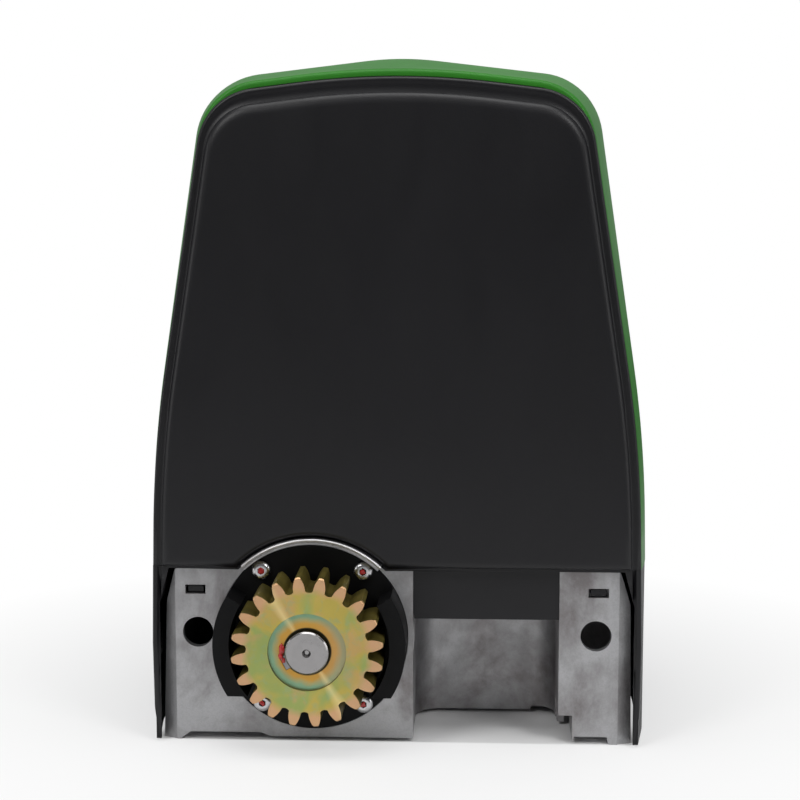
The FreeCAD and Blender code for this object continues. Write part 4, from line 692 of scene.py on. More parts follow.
def arc_corners(corners: Sequence[tuple[float, float, float]]) -> list[Pair]:
    """Rounds the corners of a path.

    Args:
        corners: Corners (u, w, radius); a radius of 0 keeps the corner sharp.

    Returns:
        The path's points, the same number for any path with the same radii at 0.
    """
    points = []
    last = len(corners) - 1
    for i, (u, w, radius) in enumerate(corners):
        if radius == 0 or i in (0, last):
            points.append((u, w))
            continue
        here = Vector((u, w))
        back = (Vector(corners[i - 1][:2]) - here).normalized()
        ahead = (Vector(corners[i + 1][:2]) - here).normalized()
        half = back.angle(ahead) / 2
        middle = here + (back + ahead).normalized() * (radius / math.sin(half))
        start = here + back * (radius / math.tan(half)) - middle
        end = here + ahead * (radius / math.tan(half)) - middle
        turn = start.angle_signed(end)
        for k in range(CORNER_STEPS + 1):
            spoke = start.copy()
            spoke.rotate(Matrix.Rotation(-turn * k / CORNER_STEPS, 2))
            points.append(tuple(middle + spoke))
    return points


def loft(rings: Sequence[Sequence[Point]], closed: bool) -> Mesh:
    """Draws the first ring and extrudes it from station to station.

    Args:
        rings: Rings of matching points, in metres.
        closed: Whether each ring returns to its start.

    Returns:
        The open skin.
    """
    mesh = bmesh.new()
    ring = [mesh.verts.new(point) for point in rings[0]]
    follow = ring[1:] + ring[:1] if closed else ring[1:]
    edges = [mesh.edges.new(pair) for pair in zip(ring, follow)]
    for points in rings[1:]:
        order = {vert: i for i, vert in enumerate(ring)}
        made = bmesh.ops.extrude_edge_only(mesh, edges=edges)["geom"]
        fresh = {}
        for vert in (g for g in made if isinstance(g, bmesh.types.BMVert)):
            source = next(e.other_vert(vert) for e in vert.link_edges if e.other_vert(vert) in order)
            fresh[order[source]] = vert
        ring = [fresh[i] for i in range(len(ring))]
        for vert, point in zip(ring, points):
            vert.co = point
        kept = set(ring)
        edges = [g for g in made if isinstance(g, bmesh.types.BMEdge) and set(g.verts) <= kept]
    return mesh


def revolve(profile: Sequence[Pair], at: Point, axis: Vector, steps: int) -> Mesh:
    """Spins an outline about an axis.

    Args:
        profile: Points (radius, height along the axis) in millimetres.
        at: The point on the axis where the height is 0, in millimetres.
        axis: The axis.
        steps: Sides of the result.

    Returns:
        The spun skin.
    """
    across, foot = axis.orthogonal().normalized(), Vector(at) * MM
    mesh = bmesh.new()
    line = [mesh.verts.new(foot + across * (r * MM) + axis * (h * MM)) for r, h in profile]
    edges = [mesh.edges.new(pair) for pair in zip(line, line[1:])]
    bmesh.ops.spin(mesh, geom=line + edges, cent=foot, axis=axis, angle=math.tau, steps=steps, use_merge=True)
    bmesh.ops.remove_doubles(mesh, verts=mesh.verts, dist=0.000001)
    return mesh


def block(low: Point, high: Point, ease: float = 0.0) -> Mesh:
    """Makes a box with eased edges.

    Args:
        low: Lowest corner in millimetres.
        high: Highest corner.
        ease: Width of the eased edges.

    Returns:
        The closed box.
    """
    mesh = bmesh.new()
    low, high = Vector(low) * MM, Vector(high) * MM
    shape = Matrix.Translation((low + high) / 2) @ Matrix.Diagonal((*(high - low), 1.0))
    bmesh.ops.create_cube(mesh, size=1.0, matrix=shape)
    if ease:
        bmesh.ops.bevel(mesh, geom=mesh.edges[:], offset=ease * MM, offset_type="OFFSET", affect="EDGES",
                        segments=2, profile=0.5, material=-1)
    return mesh


def merged(meshes: Sequence[Mesh]) -> Mesh:
    """Gathers several meshes into the first and frees the rest.

    Args:
        meshes: The meshes.

    Returns:
        The first of them, with all the others in it.
    """
    whole = meshes[0]
    for mesh in meshes[1:]:
        data = bpy.data.meshes.new("part")
        mesh.to_mesh(data)
        mesh.free()
        whole.from_mesh(data)
        bpy.data.meshes.remove(data)
    return whole


def piece(mesh: Mesh, name: str, finish: Finish, body: str,
          outward: bool = True, crease: float = 35.0) -> bpy.types.Object:
    """Turns a mesh into a finished piece of a body.

    Args:
        mesh: The shape; it is freed.
        name: The piece's name.
        finish: Its finish.
        body: The body that it rides on.
        outward: Whether the faces are turned outwards first.
        crease: Angle in degrees past which an edge stays crisp.

    Returns:
        The new object.
    """
    if outward:
        bmesh.ops.recalc_face_normals(mesh, faces=mesh.faces)
    data = bpy.data.meshes.new(name)
    mesh.to_mesh(data)
    mesh.free()
    obj = bpy.data.objects.new(name, data)
    bpy.context.scene.collection.objects.link(obj)
    paint(obj, finish)
    data.shade_smooth()
    data.set_sharp_from_angle(angle=math.radians(crease))
    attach(obj, body)
    LOG.info("built %s: %d faces", name, len(data.polygons))
    return obj


def cap(mesh: Mesh, y: float) -> None:
    """Closes the open end of a skin with one face.

    Args:
        mesh: The skin.
        y: The plane of its open end, in millimetres.
    """
    end = {vert for vert in mesh.verts if abs(vert.co.y - y * MM) < IN_PLANE}
    rim = [edge for edge in mesh.edges if edge.is_boundary and set(edge.verts) <= end]
    bmesh.ops.contextual_create(mesh, geom=rim)


def moulding(mesh: Mesh, name: str, finish: Finish, body: str, crease: float,
             wall: float) -> bpy.types.Object:
    """Turns a skin that is closed but for its lower side into a hollow moulding.

    Args:
        mesh: The skin; it is freed.
        name: The piece's name.
        finish: Its finish.
        body: The body that it rides on.
        crease: Angle in degrees past which an edge stays crisp.
        wall: Thickness in millimetres, inwards from the skin.

    Returns:
        The new object.
    """
    bmesh.ops.recalc_face_normals(mesh, faces=mesh.faces)
    heart = sum((vert.co for vert in mesh.verts), Vector()) / len(mesh.verts)
    widest = max(mesh.faces, key=lambda face: face.calc_area())
    if widest.normal.dot(widest.calc_center_median() - heart) < 0:
        bmesh.ops.reverse_faces(mesh, faces=mesh.faces)
    obj = piece(mesh, name, finish, body, outward=False, crease=crease)
    shell = obj.modifiers.new("wall", "SOLIDIFY")
    shell.thickness = wall * MM
    shell.offset = -1.0
    return obj


# --------------------------------------------------------------------- casing
@dataclass
class CasingForm:
    """The outline that the rear casing and the hood share, in millimetres.

    Attributes:
        half: Half width at the joint of the casings.
        joint: Height of that joint.
        knee: Half width and height where the side begins to lean in.
        knee_r: Radius of that bend.
        lean: Lean of the sides.
        top: Height of the rear outline at its middle.
        fall: Fall of the arched top to each side.
        corner_r: Radius of the upper corners.
        apex_r: Radius of the top's middle.
    """

    half: float = 143.0
    joint: float = 106.0
    knee: Pair = (141.5, 175.0)
    knee_r: float = 700.0
    lean: float = 0.1575
    top: float = 389.8
    fall: float = 0.122
    corner_r: float = 36.0
    apex_r: float = 460.0

    def path(self, grow: float, top: float, fall: float, corner_r: float, low: float,
             upright: float = 0.0, apex_r: float = 460.0) -> list[Pair]:
        """Samples the outline from its lower right end over the top to its lower left end.

        Args:
            grow: How far the sides stand out past the rear outline.
            top: Height at the middle.
            fall: Fall of the top to each side.
            corner_r: Radius of the upper corners.
            low: Height of both ends.
            upright: How much less the sides lean than the rear outline's.
            apex_r: Radius of the top's middle.

        Returns:
            Points (x, z) in millimetres.
        """
        lean = self.lean - upright
        peak = top + apex_r * (math.hypot(1.0, fall) - 1.0)
        x = (self.knee[0] + grow - lean * (peak - self.knee[1])) / (1 - lean * fall)
        right = [(self.half + grow, low, 0.0), (self.knee[0] + grow, self.knee[1], self.knee_r),
                 (x, peak - fall * x, corner_r)]
        left = [(-u, w, r) for u, w, r in reversed(right)]
        return arc_corners([*right, (0.0, peak, apex_r), *left])

    def height_at(self, across: float) -> float:
        """Finds the outline's height at a distance from its middle.

        Args:
            across: The distance.

        Returns:
            The height.
        """
        points = self.path(0.0, self.top, self.fall, self.corner_r, self.joint, 0.0, self.apex_r)
        over = [(u, w) for u, w in points if u >= 0 and w > self.knee[1]]
        right = min((p for p in over if p[0] >= across), key=lambda p: p[0] - 0.001 * p[1], default=over[0])
        left = max((p for p in over if p[0] < across), key=lambda p: p[0], default=right)
        if right[0] == left[0]:
            return left[1]
        return left[1] + (right[1] - left[1]) * (across - left[0]) / (right[0] - left[0])


@dataclass
class RearCasing:
    """Black moulded back in millimetres: a rounded rim, a soft cove and the raised panel.

    Attributes:
        form: The shared outline.
        rim_y: Plane of the rim's face.
        panel_y: Plane of the panel's face.
        wall: Thickness of the moulding.
        flange: How far the moulding turns in behind its rim.
        rim_r: Radius of the rim's edge.
        cove: The cove, each (side inset, top inset, bottom inset, depth behind the rim).
        shoulder: Run of the panel's rounded shoulder.
        stretch: How much wider the shoulder is at the side, top and bottom.
        flat: Insets at which the panel is flat.
        arch_r: Radius of the arch over the gear's collar.
        arch_steps: Steps along that arch.
        low: Height of the panel's lower edge.
        packed_fall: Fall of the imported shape's top to each side.
        packed_corner_r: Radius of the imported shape's upper corners.
        packed_apex_r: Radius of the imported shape's middle.
        settle_from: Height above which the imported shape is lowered.
        settle_over: Height over which the lowering sets in.
        settle_reach: Distance from the middle past which it is constant.
        behind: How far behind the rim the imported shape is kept.
    """

    form: CasingForm = field(default_factory=CasingForm)
    rim_y: float = -91.0
    panel_y: float = -95.0
    wall: float = 2.0
    flange: float = 3.0
    rim_r: float = 2.0
    cove: tuple[tuple[float, float, float, float], ...] = (
        (2.7, 3.2, 0.3, 0.30), (3.6, 5.2, 0.4, 0.62), (4.6, 7.2, 0.5, 0.50), (5.4, 8.8, 0.6, -0.05))
    shoulder: float = 3.6
    stretch: tuple[float, float, float] = (1.3, 1.9, 1.1)
    flat: tuple[float, float, float] = (12.4, 19.0, 6.5)
    arch_r: float = 61.0
    arch_steps: int = 24
    low: float = 106.4
    packed_fall: float = 0.0507
    packed_corner_r: float = 25.0
    packed_apex_r: float = 200.0
    settle_from: float = 315.0
    settle_over: float = 35.0
    settle_reach: float = 108.0
    behind: float = 2.4

    def sections(self) -> list[tuple[float, float, float, float]]:
        """Lists the moulding's profile from its flange to the panel.

        Returns:
            Rows (side inset, top inset, bottom inset, y).
        """
        back = self.rim_y + self.flange
        rows = [(self.flange, self.flange, 0.0, back + 0.6), (self.flange, self.flange, 0.0, back),
                (0.0, 0.0, 0.0, back)]
        for degrees in range(0, 91, 15):
            a = math.radians(degrees)
            inset = self.rim_r * (1 - math.cos(a))
            rows.append((inset, inset, 0.15 * inset, self.rim_y + self.rim_r * (1 - math.sin(a))))
        rows += [(side, top, bottom, self.rim_y + depth) for side, top, bottom, depth in self.cove]
        foot = rows[-1]
        for degrees in range(9, 91, 9):
            a = math.radians(degrees)
            run = self.shoulder * (1 - math.cos(a))
            insets = [start + run * wide for start, wide in zip(foot, self.stretch)]
            rows.append((*insets, foot[3] - (foot[3] - self.panel_y) * math.sin(a)))
        return [*rows, (*self.flat, self.panel_y)]

    def ring(self, side: float, top: float, bottom: float, y: float) -> list[Vector]:
        """Draws one closed ring of the moulding.

        Args:
            side: Inset from the sides.
            top: Inset from the top.
            bottom: Inset from the lower edge and from the arch.
            y: The ring's plane.

        Returns:
            Points in metres.
        """
        low = self.low + bottom
        corner = self.form.corner_r - min(side, 8.0)
        over = self.form.path(-side, self.form.top - top, self.form.fall, corner, low, 0.0, self.form.apex_r)
        reach = self.arch_r + bottom
        start = math.asin((low - SHAFT.z / MM) / reach)
        arch = []
        for k in range(self.arch_steps + 1):
            a = math.pi - start - (math.pi - 2 * start) * k / self.arch_steps
            arch.append((SHAFT.x / MM + reach * math.cos(a), SHAFT.z / MM + reach * math.sin(a)))
        return [Vector((u, y, w)) * MM for u, w in over + arch]

    def panel(self) -> bpy.types.Object:
        """Builds the rim, cove and panel as one moulding.

        Returns:
            The new object.
        """
        mesh = loft([self.ring(*row) for row in self.sections()], True)
        cap(mesh, self.panel_y)
        return moulding(mesh, "rear_panel", Finish.CASING, "base", 50.0, self.wall)

    def settle(self, mesh: Mesh) -> None:
        """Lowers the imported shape's top to the arched outline.

        Args:
            mesh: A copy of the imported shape.
        """
        packed = CasingForm(top=self.form.top, fall=self.packed_fall, corner_r=self.packed_corner_r,
                            apex_r=self.packed_apex_r)
        for vert in mesh.verts:
            share = max(0.0, min(1.0, (vert.co.z / MM - self.settle_from) / self.settle_over))
            across = min(abs(vert.co.x / MM), self.settle_reach)
            drop = packed.height_at(across) - self.form.height_at(across)
            vert.co.z -= max(0.0, drop) * share * MM

    def frame_part(self) -> bpy.types.Object:
        """Keeps the legs, apron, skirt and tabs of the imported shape, behind the panel.

        Returns:
            The new object.
        """
        mesh = bmesh.new()
        mesh.from_mesh(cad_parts["rear_casing"].data)
        bmesh.ops.remove_doubles(mesh, verts=mesh.verts, dist=WELD_GAP)
        upper, long = 300.0 * MM, 30.0 * MM
        top_edges = [e for e in mesh.edges if min(v.co.z for v in e.verts) > upper and e.calc_length() > long]
        bmesh.ops.subdivide_edges(mesh, edges=top_edges, cuts=5, use_grid_fill=True)
        self.settle(mesh)
        step, behind = (self.low + 0.5) * MM, (self.rim_y + self.behind) * MM
        for spot, way in (((0, 0, step), UP), ((0, behind, 0), REARWARD)):
            everything = mesh.verts[:] + mesh.edges[:] + mesh.faces[:]
            bmesh.ops.bisect_plane(mesh, geom=everything, dist=IN_PLANE, plane_co=spot, plane_no=way)
        spots = [(face, face.calc_center_median()) for face in mesh.faces]
        lost = [face for face, spot in spots if spot.z > step and spot.y < behind]
        bmesh.ops.delete(mesh, geom=lost, context="FACES")
        return piece(mesh, "rear_frame", Finish.CASING, "base", outward=False)

    def build(self) -> None:
        """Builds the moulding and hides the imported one."""
        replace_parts(self.panel(), "rear_casing")
        self.frame_part()


@dataclass
class Hood:
    """Green lift-off hood: flared sides, a low ridge and a rounded front, in millimetres.

    Attributes:
        form: The shared outline.
        edge_y: Plane of its rear edge.
        crest_y: Plane in which the roof is highest.
        front_y: Its front face.
        step: Roof above the rear outline at the rear edge.
        rise: Climb of the roof to its crest.
        crest_fall: Fall of the crest to each side.
        crest_r: Radius of the crest's middle.
        upright: How much less the sides lean at the crest than at the rear edge.
        belly: How far the sides open in all, and how fast.
        front_r: Plan radius of the front corners.
        nose: Length and drop of the rounded front.
        lip: Draw of the rear edge at the side, and its rounding at the side and the top.
        plain: Planes of the stations between the rear edge and the nose.
        wall: Thickness.
    """

    form: CasingForm = field(default_factory=CasingForm)
    edge_y: float = -87.7
    crest_y: float = 8.0
    front_y: float = 130.0
    step: float = 4.4
    rise: float = 11.9
    crest_fall: float = 0.118
    crest_r: float = 170.0
    upright: float = 0.010
    belly: Pair = (7.8, 0.21)
    front_r: float = 55.0
    nose: Pair = (90.0, 125.0)
    lip: tuple[float, float, float] = (2.6, 0.9, 2.4)
    plain: tuple[float, ...] = (-82.5, -79.5, -76.0, -70.0, -63.0, -56.0, -48.0, -40.0, -31.0, -22.0, -12.0,
                                -2.0, 8.0, 18.0, 29.0, 40.0)
    wall: float = 2.6

    def station(self, y: float, ease_side: float = 0.0, ease_top: float = 0.0) -> list[Vector]:
        """Samples the hood's outside in one plane.

        Args:
            y: The plane.
            ease_side: How far the sides are drawn in.
            ease_top: How far the roof is drawn down.

        Returns:
            Points in metres.
        """
        run = y - self.edge_y
        climb = max(0.0, min(1.0, run / (self.crest_y - self.edge_y)))
        grow = self.belly[0] * math.tanh(self.belly[1] * max(run, 0.0) / self.belly[0])
        past = max(0.0, min(1.0, (y - (self.front_y - self.front_r)) / self.front_r))
        grow -= self.front_r * (1 - math.sqrt(1 - past * past))
        top = self.form.top + self.step + self.rise * math.sin(math.pi / 2 * climb ** 1.25)
        into = max(0.0, min(1.0, (y - (self.front_y - self.nose[0])) / self.nose[0]))
        top -= self.nose[1] * (1 - math.sqrt(1 - into * into))
        swell = math.sin(math.pi / 2 * climb)
        fall = self.form.fall + (self.crest_fall - self.form.fall) * swell
        corner = self.form.corner_r + 1 + 2 * swell - ease_side
        apex_r = self.form.apex_r + (self.crest_r - self.form.apex_r) * swell
        path = self.form.path(grow - ease_side, top - ease_top, fall, corner, self.form.joint,
                              self.upright * swell, apex_r)
        return [Vector((u, y, w)) * MM for u, w in path]

    def build(self) -> None:
        """Lofts the hood from its rear edge to its front face."""
        drawn_in, round_side, round_top = self.lip
        sunk = self.step - 0.35
        rings = [self.station(self.edge_y + 2.5, drawn_in, sunk), self.station(self.edge_y, drawn_in, sunk)]
        for degrees in range(0, 91, 18):
            a = math.radians(degrees)
            shrink = 1 - math.sin(a)
            forward = round_top * (1 - math.cos(a))
            rings.append(self.station(self.edge_y + forward, round_side * shrink, round_top * shrink))
        nose_y = self.front_y - self.nose[0]
        turns = [nose_y + self.nose[0] * math.sin(math.radians(a)) for a in range(3, 90, 3)]
        rings += [self.station(y) for y in (*self.plain, *turns, self.front_y)]
        mesh = loft(rings, False)
        cap(mesh, self.front_y)
        obj = moulding(mesh, "hood_shell", Finish.HOOD, "cover", 60.0, self.wall)
        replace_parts(obj, "top_cover")


# ------------------------------------------------------------------ gear side
@dataclass
class GearSide:
    """Collar lip, guard screws and thread sealant round the pinion, in millimetres.

    Attributes:
        lip_y: Front of the collar's lip.
        lip_foot: Plane at which the lip ends, inside the cast plates.
        lip_from: Angle above the horizontal at which the lip begins.
        lip: The lip's profile, each (radius, depth behind its front).
        screw_at: Offset of each guard screw from the shaft.
        shank: Radius and length of a screw's shank.
        head_r: Radius of a screw's head.
        head_h: Height of a screw's head.
        rim_h: Height of the head's upright rim.
        hex_r: Radius of its hexagon socket.
        hex_depth: Depth of that socket.
        drop: Half extents of the sealant in a socket.
        smears: Sealant by the key, each (place from the shaft, half extents, seed).
    """

    lip_y: float = -95.4
    lip_foot: float = -84.0
    lip_from: float = 47.0
    lip: tuple[Pair, ...] = ((60.4, 0.8), (60.1, 0.3), (59.5, 0.0), (58.9, 0.2), (58.6, 0.9), (58.3, 1.0),
                             (58.0, 0.7), (57.7, 0.3), (57.1, 0.2), (56.8, 0.6), (56.7, 1.2))
    screw_at: Pair = (30.0, 40.0)
    shank: Pair = (2.0, 10.0)
    head_r: float = 5.8
    head_h: float = 4.0
    rim_h: float = 0.9
    hex_r: float = 2.3
    hex_depth: float = 2.0
    drop: Point = (2.2, 1.0, 2.2)
    smears: tuple[tuple[Point, Point, float], ...] = (
        ((-14.6, 1.9, 1.4), (1.7, 1.3, 3.0), 1.0), ((-15.1, 2.0, -2.2), (1.3, 1.1, 2.3), 5.0),
        ((-13.6, 1.9, -5.2), (1.1, 1.0, 1.7), 9.0))

    def collar_lip(self) -> None:
        """Builds the machined lip of the collar, above the plates."""
        profile = [(r, self.lip_y + depth) for r, depth in self.lip]
        profile = [(profile[0][0], self.lip_foot), *profile, (profile[-1][0], self.lip_foot)]
        start = math.radians(self.lip_from)
        way = Vector((math.cos(start), 0.0, math.sin(start)))
        at = Vector(AXIS_AT)
        mesh = bmesh.new()
        line = [mesh.verts.new(at + way * r * MM + REARWARD * y * MM) for r, y in profile]
        edges = [mesh.edges.new(pair) for pair in zip(line, line[1:])]
        bmesh.ops.spin(mesh, geom=line + edges, cent=at, axis=-REARWARD, angle=math.pi - 2 * start, steps=72)
        bmesh.ops.holes_fill(mesh, edges=[e for e in mesh.edges if e.is_boundary])
        piece(mesh, "collar_lip", Finish.MACHINED, "base")

    def screw(self, x: float, z: float, y: float) -> Mesh:
        """Makes one domed screw with a hexagon socket.

        Args:
            x: Its place across.
            z: Its height.
            y: The seat of its head.

        Returns:
            The screw.
        """
        shank_r, shank_h = self.shank
        profile = [(shank_r, y + shank_h), (shank_r, y), (self.head_r - 0.3, y), (self.head_r, y - 0.4),
                   (self.head_r, y - self.rim_h)]
        flat_r = self.hex_r + 0.7
        for k in range(1, 8):
            a = math.radians(90 * k / 7)
            profile.append((flat_r + (self.head_r - flat_r) * math.cos(a),
                            y - self.rim_h - (self.head_h - self.rim_h) * math.sin(a)))
        mesh = revolve(profile, (x, 0.0, z), REARWARD, 36)
        mouth = [e for e in mesh.edges if e.is_boundary and e.verts[0].co.y < (y - 1) * MM]
        face = Matrix.Translation(Vector((x, y - self.head_h, z)) * MM) @ Matrix.Rotation(math.pi / 2, 4, "X")
        socket = bmesh.ops.create_circle(mesh, segments=6, radius=self.hex_r * MM, matrix=face)["verts"]
        hexagon = list({e for v in socket for e in v.link_edges})
        bmesh.ops.bridge_loops(mesh, edges=mouth + hexagon)
        hexagon = [e for e in mesh.edges if e.is_boundary and all(v in socket for v in e.verts)]
        deep = bmesh.ops.extrude_edge_only(mesh, edges=hexagon)["geom"]
        floor = [g for g in deep if isinstance(g, bmesh.types.BMVert)]
        bmesh.ops.translate(mesh, verts=floor, vec=REARWARD * self.hex_depth * MM)
        bmesh.ops.holes_fill(mesh, edges=[e for e in mesh.edges if e.is_boundary and e.verts[0] in floor])
        return mesh

    def blob(self, at: Point, size: Point, seed: float) -> Mesh:
        """Makes one uneven drop of sealant.

        Args:
            at: Its middle.
            size: Its half extents.
            seed: Shift of the noise that dents it.

        Returns:
            The drop.
        """
        mesh = bmesh.new()
        bmesh.ops.create_icosphere(mesh, subdivisions=3, radius=1.0)
        for vert in mesh.verts:
            bulge = 1.0 + 0.34 * noise.noise(vert.co * 1.5 + Vector((seed, 0.0, 0.0)))
            vert.co = Vector([a * MM + c * bulge * s * MM for a, c, s in zip(at, vert.co, size)])
        return mesh

    def build(self) -> None:
        """Builds every piece of the gear side."""
        self.collar_lip()
        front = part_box("guard_screws")[0].y / MM
        x, z = SHAFT.x / MM, SHAFT.z / MM
        across, up = self.screw_at
        places = [(x + i * across, z + j * up) for i in (-1, 1) for j in (-1, 1)]
        heads = merged([self.screw(u, w, front + self.head_h) for u, w in places])
        screws = piece(heads, "guard_button_screws", Finish.BOLT, "base", crease=30.0)
        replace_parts(screws, "guard_screws")
        drops = [self.blob((u, front + 0.7, w), self.drop, 3.1 * k) for k, (u, w) in enumerate(places)]
        piece(merged(drops), "socket_sealant", Finish.SEALANT, "base")
        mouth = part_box("drive_pinion")[0].y / MM
        smear = [self.blob((x + u, mouth + v, z + w), size, seed) for (u, v, w), size, seed in self.smears]
        piece(merged(smear), "key_sealant", Finish.SEALANT, "output")


# ----------------------------------------------------------------- controller
@dataclass
class Controller:
    """Small parts on the circuit board and the batteries, in millimetres.

    Attributes:
        ways: Terminals in each row.
        pitch: Distance between terminals.
        rows_x: Where each row of terminals starts.
        cans: Capacitors, each (x, y, radius, height).
        chips: Packages, each (x0, x1, y0, y1, height).
        lead_pitch: Distance between a package's leads.
        lead: Half width and length of a lead.
        rail: Width of the display's bezel, and how far it stands out past the glass.
        lamp_r: Radius of a lamp's dome.
        lamps_at: The first lamp from the first button, and the distance between lamps.
        headers_x: Middle of each pin header.
        header: Half width of a header, and where it starts and ends.
        pins: Half width of a pin, where the first one stands, and the distance between pins.
    """

    ways: int = 12
    pitch: float = 5.08
    rows_x: Pair = (-76.0, 12.0)
    cans: tuple[tuple[float, float, float, float], ...] = (
        (-74.0, 6.0, 5.0, 13.0), (-62.0, 6.0, 5.0, 13.0), (-34.0, -20.0, 6.3, 16.0), (-18.0, -22.0, 4.0, 9.0),
        (72.0, 4.0, 4.0, 9.0), (72.0, 16.0, 4.0, 9.0))
    chips: tuple[tuple[float, float, float, float, float], ...] = (
        (-20.1, -5.9, -8.1, 6.1, 2.2), (3.9, 24.1, -4.1, 4.1, 2.6), (34.0, 42.0, 6.0, 12.0, 1.7),
        (48.0, 56.0, 6.0, 12.0, 1.7))
    lead_pitch: float = 1.27
    lead: Pair = (0.2, 1.3)
    rail: Pair = (5.0, 0.4)
    lamp_r: float = 1.5
    lamps_at: tuple[float, float, float] = (2.6, 7.5, 14.0)
    headers_x: Pair = (64.0, 72.0)
    header: tuple[float, float, float] = (2.5, 26.0, 46.0)
    pins: tuple[float, float, float] = (0.35, 28.35, 2.54)

    def add(self, meshes: Sequence[Mesh], name: str, finish: Finish, slot: str | None = None) -> None:
        """Joins meshes into one piece that rides with the base."""
        piece(merged(meshes), name, finish, "base")

    def on_board(self, low: Point, high: Point, ease: float = 0.0) -> Mesh:
        """Makes a box on the board.

        Args:
            low: Lowest corner, with the board's top as height 0.
            high: Highest corner.
            ease: Width of the eased edges.

        Returns:
            The box.
        """
        lift = Vector((0.0, 0.0, self.top))
        return block(Vector(low) + lift, Vector(high) + lift, ease)

    def upright(self, x: float, y: float, profile: Sequence[Pair], steps: int = 24) -> Mesh:
        """Returns a turned part of points (radius, height) that stands on the board."""
        return revolve(profile, (x, y, self.top), UP, steps)

    def capacitors(self) -> None:
        """Builds the sleeved cans with a groove near the foot, and their flat metal tops."""
        tops, sleeves = [], []
        for x, y, r, h in self.cans:
            groove = [(0, 0), (r, 0), (r, 0.6), (r - 0.25, 1.0), (r - 0.25, 1.5), (r, 1.9)]
            fold = [(r, h - 0.5), (r - 0.3, h - 0.1), (r - 0.9, h - 0.05), (0, h - 0.05)]
            sleeves.append(self.upright(x, y, groove + fold))
            tops.append(self.upright(x, y, [(r - 0.95, h - 0.2), (r - 0.95, h + 0.05), (0.0, h + 0.05)]))
        self.add(sleeves, "capacitor_sleeves", Finish.SLEEVE)
        self.add(tops, "capacitor_tops", Finish.CAN)

    def packages(self) -> None:
        """Builds the chips with their gull-wing leads."""
        bodies, leads = [], []
        half, reach = self.lead
        for x0, x1, y0, y1, h in self.chips:
            bodies.append(self.on_board((x0, y0, 0.2), (x1, y1, h), 0.25))
            count = int((x1 - x0) / self.lead_pitch)
            for k in range(count):
                x = x0 + (k + 0.5) * (x1 - x0) / count
                for y in (y0 - reach, y1):
                    leads.append(self.on_board((x - half, y, 0.05), (x + half, y + reach, 0.25)))
        self.add(bodies, "chip_packages", Finish.EPOXY)
        self.add(leads, "chip_leads", Finish.LEADS)

    def terminal_screws(self) -> None:
        """Builds a slotted screw in each terminal."""
        low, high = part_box("terminal_blocks")
        y, z = (low.y + high.y) / 2 / MM + 1.0, high.z / MM
        head = [(1.7, -0.1), (1.7, 0.25), (1.45, 0.4), (0.0, 0.4)]
        spots = [x0 + (k + 0.5) * self.pitch for x0 in self.rows_x for k in range(self.ways)]
        self.add([revolve(head, (x, y, z), UP, 16) for x in spots], "terminal_screws", Finish.BOLT)
        slots = [block((x - 1.4, y - 0.25, z + 0.3), (x + 1.4, y + 0.25, z + 0.45)) for x in spots]
        self.add(slots, "terminal_slots", Finish.EPOXY)

    def display_frame(self) -> None:
        """Builds the bezel round the display."""
        low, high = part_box("lcd_module")
        x0, y0, x1, y1, z = (v / MM for v in (low.x, low.y, high.x, high.y, high.z))
        rail, out = self.rail
        bars = [(x0 - out, y0 - out, x1 + out, y0 + rail), (x0 - out, y1 - rail, x1 + out, y1 + out),
                (x0 - out, y0 + rail, x0 + rail, y1 - rail), (x1 - rail, y0 + rail, x1 + out, y1 - rail)]
        bezel = [block((a, b, z - 3.0), (c, d, z + 0.5), 0.25) for a, b, c, d in bars]
        self.add(bezel, "display_bezel", Finish.BEZEL)

    def lamps(self) -> None:
        """Builds the row of indicator lamps."""
        low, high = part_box("board_button_1")
        first, behind, apart = self.lamps_at
        foot, r = [(0.0, 0.3), (1.75, 0.3), (1.75, 1.1), (1.5, 1.1)], self.lamp_r
        turns = [math.radians(a) for a in range(0, 91, 15)]
        dome = foot + [(r * math.cos(a), 2.4 + r * math.sin(a)) for a in turns]
        x, y = low.x / MM + first, high.y / MM + behind
        self.add([self.upright(x + apart * k, y, dome, 20) for k in range(4)], "indicator_lamps", Finish.LENS)

    def headers(self) -> None:
        """Builds the two pin headers."""
        wide, start, end = self.header
        half, first, apart = self.pins
        bases = [self.on_board((x - wide, start, 0.1), (x + wide, end, 6.0), 0.3) for x in self.headers_x]
        spots = [(x, first + apart * k) for x in self.headers_x for k in range(7)]
        pins = [self.on_board((x - half, y - half, 5.9), (x + half, y + half, 8.5), 0.1) for x, y in spots]
        self.add(bases, "pin_headers", Finish.CREAM)
        self.add(pins, "header_pins", Finish.LEADS)

    def fuse(self) -> None:
        """Builds the plug-in fuse in its holder."""
        self.add([self.on_board((-66.2, -34.2, 0.1), (-43.8, -13.8, 12.3), 0.5)], "fuse_holder", Finish.BEZEL)
        blade = [self.on_board((-63.0, -26.5, 12.2), (-47.0, -21.5, 18.0), 0.6),
                 self.on_board((-60.5, -27.2, 14.0), (-49.5, -20.8, 17.0), 0.4)]
        self.add(blade, "blade_fuse", Finish.LENS)

    def battery_lids(self) -> None:
        """Builds the lid that stands proud of each battery's case."""
        for node in ("battery_left", "battery_right"):
            low, high = (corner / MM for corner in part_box(node))
            corners = (low.x + 0.8, low.y + 18.0, high.z - 6.3), (high.x - 0.8, high.y - 3.0, high.z - 5.4)
            lid = block(*corners, 0.3)
            self.add([lid], f"{node}_lid", Finish.BATTERY, "battery_case")

    @property
    def top(self) -> float:
        """Height of the board's upper face."""
        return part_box("terminal_blocks")[0].z / MM

    def build(self) -> None:
        """Builds every small part."""
        self.capacitors()
        self.packages()
        self.terminal_screws()
        self.display_frame()
        self.lamps()
        self.headers()
        self.fuse()
        self.battery_lids()


